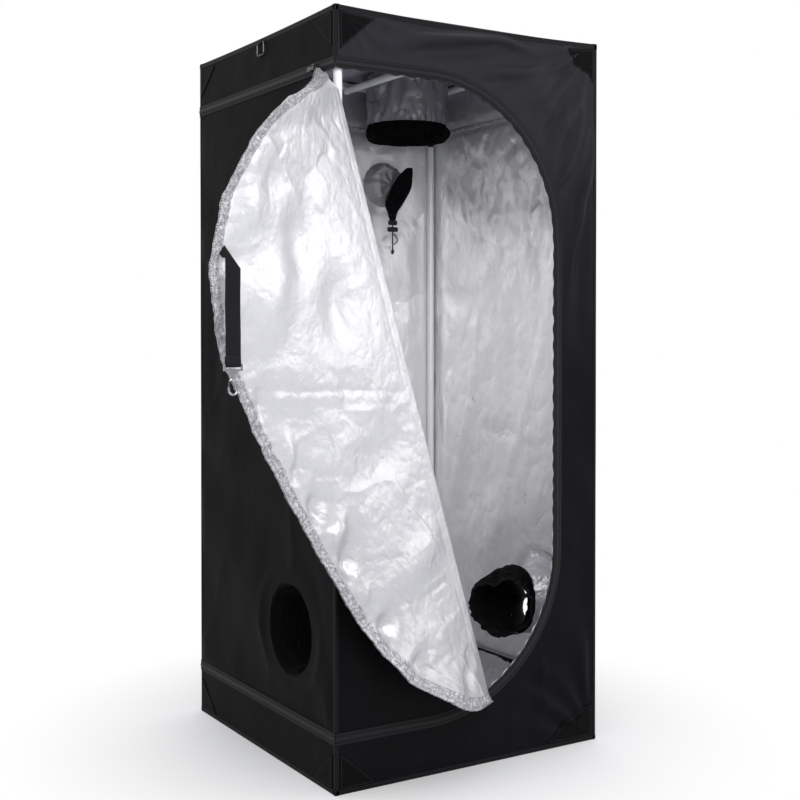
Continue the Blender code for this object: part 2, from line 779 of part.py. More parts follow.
def make_slider(level, seat, run, outward, parent=None):
    """A slider and its pull tab; run is the way the tab lies along the zip."""
    seat, run, outward = Vector(seat), Vector(run).normalized(), Vector(outward)
    across = outward.cross(run)

    def body_place(a, b, reach):
        return seat + across * a + outward * b + run * reach

    half = SLIDER_LENGTH / 2
    shape = extrude_outline(slider_outline(), body_place, -half, half)
    add(f"slider_{level}", shape, "chrome", seat, parent)
    pivot = seat + outward * (SLIDER_BODY + SLIDER_EAR_HEIGHT / 2)
    thick = TAB_THICKNESS / 2

    def tab_place(a, b, reach):
        return pivot + run * a + across * b + outward * reach

    shape = extrude_outline(tab_outline(), tab_place, -thick, thick)
    add(f"pull_tab_{level}", shape, "chrome", pivot, parent)


def make_sliders():
    back = -HALF_D + FOLD_BACK + SLIDER_LENGTH / 2 + SLIDER_CLEARANCE
    make_slider("top", (-HALF_W - SLIDER_FACE, back, DOOR_TOP), (0, 1, 0), (-1, 0, 0))
    centre = Vector((ARC_X, -HALF_D - SLIDER_FACE, ARC_LOW))
    setback = FOLD_RADIUS + FOLD_TAIL + SLIDER_LENGTH / 2 + SLIDER_CLEARANCE
    angle = FOLD_END_ANGLE - setback / DOOR_RADIUS
    turn = Vector((math.cos(angle), 0, math.sin(angle)))
    seat = centre + turn * DOOR_RADIUS
    pivot = add_pivot("slider_bottom_pivot", centre)
    make_slider("bottom", seat, (turn.z, 0, -turn.x), (0, -1, 0), pivot)


# Ports

def make_sleeve(name, centre, run, radius, sizes, shares, kind):
    """An open cloth sleeve; sizes are its reach, turn aside and drop, shared out by its rings."""
    run = Vector(run)
    whole_reach, whole_aside, whole_drop = sizes
    _, up = axes_for(run)
    aside_way = Vector((0, 1, 0)) if abs(run.y) < 0.5 else Vector((1, 0, 0))
    drop_way = Vector((0, 0, -1)) if abs(run.z) < 0.5 else Vector((1, 0, 0))
    wall = centre + run * (CLOTH + GAP)
    neck = radius - SLEEVE_CLOTH / 2
    middles = [wall]
    radii = [neck]
    for reach, aside, drop, size in shares:
        middles.append(wall + run * (whole_reach * reach) + aside_way * (whole_aside * aside)
                       + drop_way * (whole_drop * drop))
        radii.append(radius * size)
    outer, inner = [], []
    for i, (middle, size) in enumerate(zip(middles, radii)):
        before = middles[max(0, i - 1)]
        after = middles[min(len(middles) - 1, i + 1)]
        heading = run if i == 0 else (after - before).normalized()
        u = heading.cross(up).normalized()
        v = u.cross(heading)
        foot = middle + run * SLEEVE_CLOTH if i == 0 else middle
        outer.append(circle(foot, u, v, size, SLEEVE_SIDES))
        inner.append(circle(middle, u, v, size - SLEEVE_CLOTH, SLEEVE_SIDES))
    u = run.cross(up).normalized()
    v = u.cross(run)
    rim = radius + SLEEVE_FLANGE
    flange = [
        circle(wall, u, v, rim, SLEEVE_SIDES),
        circle(wall + run * SLEEVE_CLOTH, u, v, rim, SLEEVE_SIDES),
    ]
    add(name, skin_loops(flange + outer + inner[::-1], closed=True), kind)


def make_side_and_roof_sleeves(ports):
    sizes = (LEFT_SLEEVE_REACH, LEFT_SLEEVE_TURN, LEFT_SLEEVE_DROP)
    make_sleeve("sleeve_left", ports["left"], (1, 0, 0), SIDE_PORT_RADIUS, sizes,
                LEFT_SLEEVE_SHARES, "black_cloth")
    sizes = (RIGHT_SLEEVE_REACH, RIGHT_SLEEVE_TURN, RIGHT_SLEEVE_DROP)
    make_sleeve("sleeve_right", ports["right"], (-1, 0, 0), SIDE_PORT_RADIUS, sizes,
                RIGHT_SLEEVE_SHARES, "black_cloth")
    size = ROOF_PORT_RADIUS - SLEEVE_CLOTH / 2
    shares = [(part / 3, 0, 0, size / ROOF_PORT_RADIUS) for part in (1, 2, 3)]
    make_sleeve("sleeve_roof", ports["roof"], (0, 0, -1), ROOF_PORT_RADIUS,
                (ROOF_SLEEVE_LENGTH, 0, 0), shares, "film")
    top = TENT_HEIGHT - CLOTH - 2 * GAP - ROOF_SLEEVE_LENGTH
    centre = Vector((ports["roof"].x, ports["roof"].y, top))
    inner = size - SLEEVE_CLOTH
    profile = ((0, size), (ROOF_HEM_HEIGHT, size), (ROOF_HEM_HEIGHT, inner), (0, inner))
    add("sleeve_roof_hem", turned(centre, (0, 0, -1), profile, SLEEVE_SIDES), "black_cloth")
    across, back = ROOF_LOCK_SHARES
    width, depth, height = ROOF_LOCK_SIZE
    middle = centre + Vector((size * across, size * back, -ROOF_HEM_HEIGHT - GAP - height / 2))
    half = Vector((width, depth, height)) / 2
    add("roof_cord_lock", rounded_box(middle - half, middle + half, depth / 4), "plastic")


def make_back_sleeve(ports):
    """The back port's sleeve, drawn shut: a hollow grey root at the wall and a black end."""
    port = ports["back"]
    wall = HALF_D - CLOTH - GAP
    end_middle = wall - BACK_END_SET_OFF
    reach = BACK_END_SET_OFF - BACK_END_DEPTH - GAP
    rim = BACK_PORT_RADIUS + CLOTH
    outer, inner = [], []
    for share, radius in BACK_ROOT_SHARES:
        aside = port.x + BACK_ROOT_LEAN * share
        for rings, less in ((outer, 0), (inner, SLEEVE_CLOTH)):
            centre = (aside, wall - (reach - less) * share, port.z)
            rings.append(circle(centre, (1, 0, 0), (0, 0, 1), rim * radius - less, SLEEVE_SIDES))
    add("sleeve_back", skin_loops(outer[::-1] + inner), "film")
    neck = port + Vector((BACK_END_LEAN * BACK_END_SHARES[-1][1], end_middle - port.y, -BACK_END_DROP))
    loops = []
    for height, lean, width in BACK_END_SHARES:
        half = BACK_END_WIDTH * width
        depth = min(BACK_END_DEPTH, half)
        middle = Vector((port.x + BACK_END_LEAN * lean, end_middle, neck.z + BACK_END_LENGTH * height))
        ring = []
        for i in range(SLEEVE_SIDES):
            turn = math.tau * i / SLEEVE_SIDES
            ring.append(middle + Vector((half * math.cos(turn), depth * math.sin(turn), 0)))
        loops.append(ring)
    add("sleeve_back_end", skin_loops(loops), "black_cloth")
    return neck


def bored_block(name, top, size, kind):
    """A rounded block with an upright bore, hung by its top's middle."""
    width, depth, height = size
    low = top + Vector((-width / 2, -depth / 2, -height))
    high = top + Vector((width / 2, depth / 2, 0))
    block = add(name, rounded_box(low, high, height / 4), kind, top)
    over = Vector((0, 0, CUT_OVERRUN))
    combine(block, rod(top + over, top - Vector((0, 0, height)) - over, LOCK_BORE), "DIFFERENCE")


def smooth_route(points, count):
    """Points spread evenly along a smooth curve through a few points."""
    points = [Vector(p) for p in points]
    ends = [2 * points[0] - points[1]] + points + [2 * points[-1] - points[-2]]
    made = []
    spans = len(points) - 1
    for i in range(count + 1):
        place = spans * i / count
        k = min(int(place), spans - 1)
        t = place - k
        a, b, c, d = ends[k:k + 4]
        made.append(0.5 * (
            2 * b + (c - a) * t + (2 * a - 5 * b + 4 * c - d) * t ** 2
            + (3 * b - a - 3 * c + d) * t ** 3))
    return made


def add_strand(name, points, radius):
    curve = bpy.data.curves.new(name, "CURVE")
    curve.dimensions = "3D"
    curve.bevel_depth = radius
    curve.bevel_resolution = 2
    curve.use_fill_caps = True
    spline = curve.splines.new("POLY")
    spline.points.add(len(points) - 1)
    for knot, place in zip(spline.points, points):
        knot.co = (*place, 1)
    curve.materials.append(material("cord", name))
    item = bpy.data.objects.new(name, curve)
    bpy.context.collection.objects.link(item)


def make_cord_lock(neck):
    top = neck - Vector((0, 0, GAP))
    bored_block("cord_lock_button", top, LOCK_BUTTON, "plastic")
    below = top - Vector((0, 0, LOCK_BUTTON[2] + LOCK_GAP))
    bored_block("cord_lock_body", below, LOCK_BODY, "plastic")
    steps = 14
    straight = [top - Vector((0, 0, STRAND_LENGTH * i / steps)) for i in range(steps + 1)]
    add_strand("draw_cord_straight", straight, STRAND_RADIUS)
    leave = below - Vector((0, 0, LOCK_BODY[2] + LOCK_TRAVEL + BOW_RADIUS))
    route = [leave + Vector((aside, 0, -drop)) for drop, aside in BOW_ROUTE]
    add_strand("draw_cord_bow", smooth_route(route, BOW_POINTS), BOW_RADIUS)


# Strap, snap hook and tie ring

def strap_place():
    """Where the strap is sewn to the flap."""
    point, _ = flap_point(STRAP_ALONG, STRAP_OUT, flap_width(STRAP_ALONG))
    return point - Vector((0, STRAP_STAND_OFF, 0))


def make_strap():
    """Webbing that hangs flat, with a slanted sewn top and a loop round the eye's bar."""
    top = strap_place()
    left = STRAP_SHIFT - STRAP_WIDTH / 2
    right = left + STRAP_WIDTH
    thick = STRAP_THICKNESS / 2
    outline = [(left, -STRAP_LENGTH), (right, -STRAP_LENGTH), (right, -STRAP_WIDTH)]
    outline += [(STRAP_WIDTH * across, STRAP_WIDTH * up) for across, up in STRAP_TOP_SHARES]
    outline.append((left, STRAP_WIDTH * STRAP_TOP_SHARES[-1][1]))

    def place(a, b, level):
        return top + Vector((a, level, b))

    strap = add("door_strap", extrude_outline(outline, place, -thick, thick), "webbing", top)
    bar = top + Vector((STRAP_SHIFT, 0, -STRAP_LENGTH))
    half = STRAP_WIDTH / 2
    ring = EYE_BAR + GAP + STRAP_THICKNESS
    side = Vector((half, 0, 0))
    combine(strap, rod(bar - side, bar + side, ring, ROUND_SIDES), "UNION")
    hem = box(bar + Vector((-half, -STRAP_THICKNESS, 0)),
              bar + Vector((half, STRAP_THICKNESS, STRAP_HEM)))
    combine(strap, hem, "UNION")
    side = Vector((half + CUT_OVERRUN, 0, 0))
    combine(strap, rod(bar - side, bar + side, EYE_BAR + GAP, ROUND_SIDES), "DIFFERENCE")
    return make_eye(bar)


def make_eye(bar):
    """A wire frame round the strap's loop, narrowing to a stem for the hook's swivel."""
    inner = STRAP_WIDTH / 2 + EYE_SIDE_PLAY
    outer = inner + EYE_SIDE
    slot = -EYE_BAR - EYE_SLOT_HEIGHT
    rim = slot - 2 * EYE_BAR
    neck = EYE_NECK_WIDTH / 2
    stem = EYE_STEM_WIDTH / 2
    end = rim - EYE_NECK_HEIGHT
    outline = [
        (inner, EYE_BAR), (inner, slot), (-inner, slot), (-inner, EYE_BAR), (-outer, EYE_BAR),
        (-outer, rim), (-neck, rim), (-stem, end), (stem, end), (neck, rim), (outer, rim),
        (outer, EYE_BAR),
    ]

    def place(a, b, level):
        return bar + Vector((a, level, b))

    eye = add("strap_eye", extrude_outline(outline, place, -EYE_BAR, EYE_BAR), "chrome", bar)
    side = Vector((inner + EYE_SIDE / 2, 0, 0))
    combine(eye, rod(bar - side, bar + side, EYE_BAR, ROUND_SIDES), "UNION")
    return bar + Vector((0, 0, end - GAP))


def make_snap_hook(top):
    """A swivel hook of round wire and the gate that closes its mouth."""
    half, wire = HOOK_HALF_WIDTH, HOOK_WIRE
    stem = EYE_STEM_WIDTH / 2
    shoulder = half * HOOK_SHOULDER_SHARE
    arch = -HOOK_HEAD - HOOK_SHOULDER
    bend = -HOOK_LENGTH + half + wire
    route = [(-shoulder, arch), (0, -HOOK_HEAD), (shoulder, arch), (half, arch - HOOK_SHOULDER)]
    for i in range(9):
        turn = -math.pi * i / 8
        route.append((half * math.cos(turn), bend + half * math.sin(turn)))
    route.append((-half, bend + HOOK_TIP_RISE))
    points = [top + Vector((a, 0, b)) for a, b in route]
    hook = add("snap_hook", bent_rod(points, wire, HOOK_SIDES), "chrome", top)
    combine(hook, rod(top, top - Vector((0, 0, HOOK_HEAD)), stem, ROUND_SIDES), "UNION")
    shoulder_run = (points[1] - points[0]).normalized()
    pivot = points[0] - shoulder_run * (GATE_WIRE + GAP)
    tip = top + Vector((-half, 0, bend + HOOK_TIP_RISE + GAP))
    profile = []
    for i in range(1, 5):
        turn = math.pi * i / 8
        profile.append((-GATE_WIRE * math.cos(turn), GATE_WIRE * math.sin(turn)))
    profile.append(((tip - pivot).length, GATE_WIRE))
    gate = turned(pivot, tip - pivot, profile, HOOK_SIDES, closed=False)
    add("snap_gate", gate, "chrome", pivot)


def make_tie_ring():
    """A wire ring through a cloth loop on the left wall's top band."""
    centre = Vector((
        -HALF_W - TIE_LOOP_DEPTH / 2 - TIE_WIRE / 2, TIE_PLACE,
        TENT_HEIGHT - CLOTH - TIE_DROP))
    band = bpy.data.objects["band_left_top"]
    half = TIE_LOOP_WIDTH / 2
    low = (-HALF_W - TIE_LOOP_DEPTH, TIE_PLACE - half, centre.z - TIE_LOOP_HEIGHT / 2)
    high = (-HALF_W + CLOTH / 2, TIE_PLACE + half, centre.z + TIE_LOOP_HEIGHT / 2)
    combine(band, rounded_box(low, high, TIE_WIRE / 2), "UNION")
    side = Vector((0, half + CUT_OVERRUN, 0))
    combine(band, rod(centre - side, centre + side, TIE_WIRE + GAP, HOOK_SIDES), "DIFFERENCE")
    wide, tall = TIE_RING_WIDTH / 2, TIE_RING_HEIGHT
    corner = wide / 3
    route = []
    for y_sign, z, first in ((1, 0, 90), (1, -tall, 0), (-1, -tall, -90), (-1, 0, -180)):
        for i in range(4):
            turn = math.radians(first - 30 * i)
            y = y_sign * (wide - corner) + corner * math.cos(turn)
            lift = z - corner if z == 0 else z + corner
            route.append((y, lift + corner * math.sin(turn)))
    points = [centre + Vector((0, a, b)) for a, b in route]
    add("tie_ring", bent_rod(points, TIE_WIRE, HOOK_SIDES, closed=True), "chrome", centre)


def build():
    clear_scene()
    ports = port_centres()
    make_rails()
    make_poles()
    make_corners()
    make_hanging_bars()
    make_roof_and_floor(ports)
    make_walls(ports)
    make_front(ports)
    make_zip_bands()
    make_tray()
    make_flap()
    make_sliders()
    make_side_and_roof_sleeves(ports)
    neck = make_back_sleeve(ports)
    make_cord_lock(neck)
    make_snap_hook(make_strap())
    make_tie_ring()


build()
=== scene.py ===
import math

import bpy
import numpy as np
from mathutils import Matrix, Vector


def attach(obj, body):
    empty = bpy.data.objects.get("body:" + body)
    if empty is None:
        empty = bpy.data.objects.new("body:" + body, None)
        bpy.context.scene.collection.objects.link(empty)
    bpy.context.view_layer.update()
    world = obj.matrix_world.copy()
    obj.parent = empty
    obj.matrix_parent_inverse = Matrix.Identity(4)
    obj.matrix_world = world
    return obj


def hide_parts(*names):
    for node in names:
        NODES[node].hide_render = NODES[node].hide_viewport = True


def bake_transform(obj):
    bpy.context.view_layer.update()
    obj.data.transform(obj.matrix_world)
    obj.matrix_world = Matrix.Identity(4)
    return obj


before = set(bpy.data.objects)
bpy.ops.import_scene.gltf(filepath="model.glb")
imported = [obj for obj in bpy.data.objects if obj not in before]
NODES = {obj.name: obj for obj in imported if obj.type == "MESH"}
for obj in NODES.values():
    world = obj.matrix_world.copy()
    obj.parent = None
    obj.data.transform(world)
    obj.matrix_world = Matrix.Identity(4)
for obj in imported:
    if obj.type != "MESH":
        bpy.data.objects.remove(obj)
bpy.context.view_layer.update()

# Sizes of the tent, in metres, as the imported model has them; angles in degrees
HALF = 0.300
TOP = 1.400
CLOTH = 0.002
GAP = 0.0003
ZIP_R = 0.300
ARC_X = -0.100
ARC_LOW = 0.400
ARC_HIGH = 0.998
DOOR_TOP = 1.298
DOOR_LOW = 0.100
PORT_R = 0.087
PORT_Y, PORT_Z = -0.124, 0.261
ROOF_PORT = (0.152, 0.180, 0.094)
BACK_PORT = (0.160, 1.169, 0.050)
SEAM_Z = 1.294
FOLD_Z = 1.248
FOLD_TURN = -64.9
FOLD_SLOPE = 0.28054 / 0.95984

# What only the visible pieces have
DIPS = {"front": 0.0055, "back": 0.0050, "left": 0.0030, "right": 0.0040}
DIP_FROM = 1.31
WALL_STEP = 0.0062
LINING_DEPTH = 0.0013
UP, DOWN, RIGHT = (0.0, 0.0, 1.0), (0.0, 0.0, -1.0), (1.0, 0.0, 0.0)
LEFT, NEAR, BACK = (-1.0, 0.0, 0.0), (0.0, -1.0, 0.0), (0.0, 1.0, 0.0)

# The camera, fitted to the corners of the tent in a picture 800 points wide
PICTURE = 800
FOCAL, SHIFT = 1262.15, -48.216
CAMERA_AT = (-1.3794, -2.2497, 0.8217)
CAMERA_TILT, CAMERA_TURN = -0.0151, -0.5570


# Camera

def make_camera():
    data = bpy.data.cameras.new("camera")
    data.sensor_width = 36
    data.lens = FOCAL / PICTURE * 36
    data.shift_y = SHIFT / PICTURE
    camera = bpy.data.objects.new("camera", data)
    camera.location = CAMERA_AT
    camera.rotation_euler = (math.pi / 2 + CAMERA_TILT, 0, CAMERA_TURN)
    bpy.context.collection.objects.link(camera)
    bpy.context.scene.camera = camera


# Curves

def spline(table, count):
    """Smooth values through a short table of rows, ends kept."""
    table = np.asarray(table, float)
    ends = np.vstack([2 * table[0] - table[1], table, 2 * table[-1] - table[-2]])
    made = []
    spans = len(table) - 1
    for place in np.linspace(0, spans, count):
        k = min(int(place), spans - 1)
        t = place - k
        a, b, c, d = ends[k:k + 4]
        made.append(0.5 * (2 * b + (c - a) * t + (2 * a - 5 * b + 4 * c - d) * t ** 2
                           + (3 * b - a - 3 * c + d) * t ** 3))
    return np.array(made)


def unit(ways):
    """Rows of ways, each brought to length 1."""
    return ways / np.linalg.norm(ways, axis=1)[:, None]


def lengths_along(points):
    """Distance from the first point, along the points."""
    return np.concatenate([[0], np.cumsum(np.linalg.norm(np.diff(points, axis=0), axis=1))])


def full_turn(count):
    """Even angles once round."""
    return np.linspace(0, math.tau, count, endpoint=False)


def round_ways(turn, u, v):
    """Ways at the given angles in the plane of u and v."""
    return np.cos(turn)[:, None] * u + np.sin(turn)[:, None] * v


def smooth_route(points, count):
    """The same smooth curve in single precision, as the cords' exits are stated."""
    points = [Vector(p) for p in points]
    ends = [2 * points[0] - points[1]] + points + [2 * points[-1] - points[-2]]
    made = []
    spans = len(points) - 1
    for i in range(count + 1):
        place = spans * i / count
        k = min(int(place), spans - 1)
        t = place - k
        a, b, c, d = ends[k:k + 4]
        made.append(0.5 * (
            2 * b + (c - a) * t + (2 * a - 5 * b + 4 * c - d) * t ** 2
            + (3 * b - a - 3 * c + d) * t ** 3))
    return made


def strand(name, points, radius, surface):
    """A round cord on the tent, along points."""
    curve = bpy.data.curves.new(name, "CURVE")
    curve.dimensions = "3D"
    curve.bevel_depth = radius
    curve.bevel_resolution = 3
    curve.use_fill_caps = True
    line = curve.splines.new("POLY")
    line.points.add(len(points) - 1)
    for knot, place in zip(line.points, points):
        knot.co = (*place, 1)
    curve.materials.append(surface)
    item = bpy.data.objects.new(name, curve)
    bpy.context.collection.objects.link(item)
    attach(item, "tent")
    return item


# Smooth random fields for folds and creases, all from fixed seeds

def cloud(a, b, size, seed):
    """Smooth noise from 0 to 1 with features of about the given size."""
    table = np.random.RandomState(seed).rand(64, 64)
    x, y = np.asarray(a) / size + 31.7, np.asarray(b) / size + 17.3
    i, j = np.floor(x).astype(int), np.floor(y).astype(int)
    u, v = x - i, y - j
    u, v = u * u * u * (u * (u * 6 - 15) + 10), v * v * v * (v * (v * 6 - 15) + 10)
    i, j, k, m = i % 64, j % 64, (i + 1) % 64, (j + 1) % 64
    low = table[i, j] * (1 - u) + table[k, j] * u
    high = table[i, m] * (1 - u) + table[k, m] * u
    return low * (1 - v) + high * v


def crease(a, b, size, seed, sharp):
    """Narrow ridges of 0 to 1 that wander as creases in film do."""
    bend = size * 0.6
    a2 = a + bend * (cloud(a, b, size * 1.7, seed + 11) - 0.5)
    b2 = b + bend * (cloud(a, b, size * 1.7, seed + 23) - 0.5)
    return (1 - np.abs(2 * cloud(a2, b2, size, seed) - 1)) ** sharp


def facets(a, b, size, seed):
    """Flat tilted planes that meet in sharp edges, as in crumpled film; about -0.5 to 0.5."""
    x, y = np.asarray(a) / size, np.asarray(b) / size
    i, j = np.floor(x).astype(int), np.floor(y).astype(int)
    random = np.random.RandomState(seed).rand(64, 64, 5)
    best = np.full(x.shape, 9.0)
    height = np.zeros(x.shape)
    for di in (-1, 0, 1):
        for dj in (-1, 0, 1):
            cell = random[(i + di) % 64, (j + dj) % 64]
            dx = x - (i + di + cell[..., 0])
            dy = y - (j + dj + cell[..., 1])
            distance = dx * dx + dy * dy
            level = (cell[..., 2] - 0.5) * dx * 1.2 + (cell[..., 3] - 0.5) * dy * 1.2 - distance * 0.35
            nearer = distance < best
            height = np.where(nearer, level, height)
            best = np.minimum(best, distance)
    return height


def ramp(value, low, high):
    """0 below low, 1 above high and smooth between them."""
    t = np.clip((np.asarray(value, float) - low) / (high - low), 0, 1)
    return t * t * (3 - 2 * t)


def bump_at(a, b, place, size, turn, stretch):
    """A soft bump round one place, longer along the turned direction."""
    dx, dy = a - place[0], b - place[1]
    c, s = math.cos(turn), math.sin(turn)
    along, across = dx * c + dy * s, -dx * s + dy * c
    return np.exp(-((along / (size * stretch)) ** 2 + (across / size) ** 2))


# Mesh makers

def finish_mesh(name, verts, faces, surfaces, body, angle=40, uv=None, kinds=0):
    """A mesh object; kinds says which of the surfaces each face has."""
    mesh = bpy.data.meshes.new(name)
    mesh.from_pydata([tuple(v) for v in verts], [], [tuple(int(i) for i in f) for f in faces])
    for surface in surfaces:
        mesh.materials.append(surface)
    mesh.polygons.foreach_set("material_index", np.zeros(len(faces), np.int32) + np.asarray(kinds, np.int32))
    if uv is not None:
        layer = mesh.uv_layers.new(name="UVMap")
        loops = np.zeros(len(mesh.loops), np.int32)
        mesh.loops.foreach_get("vertex_index", loops)
        layer.data.foreach_set("uv", np.asarray(uv, np.float32)[loops].reshape(-1))
    mesh.validate()
    mesh.shade_smooth()
    mesh.set_sharp_from_angle(angle=math.radians(angle))
    item = bpy.data.objects.new(name, mesh)
    bpy.context.collection.objects.link(item)
    if body:
        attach(item, body)
    return item


def mark(item, node=None):
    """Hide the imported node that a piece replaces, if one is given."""
    if node:
        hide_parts(node)
    return item


def outward(verts, quads, away):
    """Turn the faces round if they look against the given way."""
    a, b, c = (verts[quads[:, k]] for k in (0, 1, 2))
    normal = np.cross(b - a, c - a)
    if (normal * away).sum() < 0:
        return quads[:, ::-1]
    return quads


def cloth(name, quads, outer, inner, surfaces, body="tent", angle=40, uv=None):
    """Closed cloth between an outer and an inner copy of the same faces."""
    count = len(outer)
    away = (outer - inner)[quads[:, 0]]
    quads = outward(outer, quads, away)
    edges = np.concatenate([quads[:, [k, (k + 1) % 4]] for k in range(4)])
    edges = edges[edges[:, 0] != edges[:, 1]]
    key = np.sort(edges, axis=1)
    _, where, times = np.unique(key, axis=0, return_index=True, return_counts=True)
    rim = edges[where[times == 1]]
    rims = np.stack([rim[:, 1], rim[:, 0], rim[:, 0] + count, rim[:, 1] + count], 1)
    faces = np.concatenate([quads, quads[:, ::-1] + count, rims])
    kinds = np.minimum([0] * len(quads) + [1] * len(quads) + [2] * len(rims), len(surfaces) - 1)
    verts = np.concatenate([outer, inner])
    if uv is not None:
        uv = np.concatenate([uv, uv])
    return finish_mesh(name, verts, faces, surfaces, body, angle, uv, kinds)


def grid_quads(rows, cols, wrap=False):
    """Faces between the rows and columns of a grid of points."""
    index = np.arange(rows * cols).reshape(rows, cols)
    if wrap:
        index = np.concatenate([index, index[:, :1]], 1)
    return np.stack([
        index[:-1, :-1], index[1:, :-1], index[1:, 1:], index[:-1, 1:]], -1).reshape(-1, 4)


def panel_grid(low, high, step, hole=None):
    """Flat quads over a rectangle, with a round hole whose edge is true."""
    cols = int(round((high[0] - low[0]) / step)) + 1
    rows = int(round((high[1] - low[1]) / step)) + 1
    a, b = np.meshgrid(np.linspace(low[0], high[0], cols), np.linspace(low[1], high[1], rows))
    a, b = a.ravel(), b.ravel()
    quads = grid_quads(rows, cols)
    if hole:
        x, y, radius = hole
        reach = np.hypot(a - x, b - y)
        inside = reach < radius
        quads = quads[inside[quads].sum(1) < 3]
        used = np.zeros(len(a), bool)
        used[quads.ravel()] = True
        snap = used & (reach < radius + step * 0.35)
        scale = radius / np.maximum(reach, 1e-6)
        a = np.where(snap, x + (a - x) * scale, a)
        b = np.where(snap, y + (b - y) * scale, b)
        keep = np.full(len(a), -1)
        keep[used] = np.arange(used.sum())
        a, b, quads = a[used], b[used], keep[quads]
    return a, b, quads


def ring_stack(name, points, surfaces, body, angle, uv=None, kinds=None):
    """Closed skin over a stack of rings, with a flat face at each end."""
    points = np.array(points)
    rows, cols = points.shape[:2]
    verts = points.reshape(-1, 3)
    quads = grid_quads(rows, cols, wrap=True)
    quads = outward(verts, quads, (verts - points.mean(1).repeat(cols, 0))[quads[:, 0]])
    faces = [list(q) for q in quads] + [list(range(cols))[::-1], list(range(len(verts) - cols, len(verts)))]
    kinds = 0 if kinds is None else np.concatenate([kinds, [0, 0]])
    return finish_mesh(name, verts, faces, surfaces, body, angle, uv, kinds)


def ribbon(name, path, across, out, profile, surface, body="tent", closed=False, sewn=None):
    """Sweep a closed profile of (across, out) pairs along a path, with u along and v, or sewn, round it."""
    path = np.asarray(path, float)
    across, out = (np.broadcast_to(np.asarray(x, float), path.shape) for x in (across, out))
    profile = np.asarray(profile, float)
    if profile.ndim == 2:
        profile = np.repeat(profile[None], len(path), 0)
    points = path[:, None] + across[:, None] * profile[..., :1] + out[:, None] * profile[..., 1:]
    rows, cols = points.shape[:2]
    round_it = np.broadcast_to(profile[..., 0] if sewn is None else sewn, (rows, cols))
    uv = np.stack([np.repeat(lengths_along(path)[:, None], cols, 1), round_it], -1).reshape(-1, 2)
    verts = points.reshape(-1, 3)
    quads = grid_quads(rows, cols, wrap=True)
    if closed:
        seam = np.stack([
            np.arange(cols) + (rows - 1) * cols, np.arange(cols),
            (np.arange(cols) + 1) % cols, (np.arange(cols) + 1) % cols + (rows - 1) * cols], 1)
        quads = np.concatenate([quads, seam])
    centre = points.mean(1).repeat(cols, 0)
    quads = outward(verts, quads, (verts - centre)[quads[:, 0]])
    faces = [list(q) for q in quads]
    if not closed:
        first, last = list(range(cols)), list(range((rows - 1) * cols, rows * cols))
        start = points[0].mean(0) - points[1].mean(0)
        cap = np.cross(verts[first[1]] - verts[first[0]], verts[first[2]] - verts[first[1]])
        if cap @ start < 0:
            first = first[::-1]
        cap = np.cross(verts[last[1]] - verts[last[0]], verts[last[2]] - verts[last[1]])
        if cap @ start > 0:
            last = last[::-1]
        faces += [first, last]
    return finish_mesh(name, verts, faces, [surface], body, 50, uv)


def tube(name, points, radius, surface, closed=False):
    """A round piece along points, with its own radius at each one if a list is given."""
    sides = 8
    points = np.asarray(points, float)
    radii = np.full(len(points), radius) if np.isscalar(radius) else np.asarray(radius, float)
    run = unit(np.roll(points, -1, 0) - np.roll(points, 1, 0) if closed else np.gradient(points, axis=0))
    side = np.zeros_like(run)
    guess = np.cross(run[0], (0.31, 0.22, 0.92))
    for i in range(len(points)):
        guess = guess - run[i] * (guess @ run[i])
        guess = guess / np.linalg.norm(guess)
        side[i] = guess
    up = np.cross(run, side)
    turns = np.arange(sides) * math.tau / sides
    profile = np.stack([np.cos(turns), np.sin(turns)], 1)[None] * radii[:, None, None]
    return ribbon(name, points, side, up, profile, surface, closed=closed)


# Materials

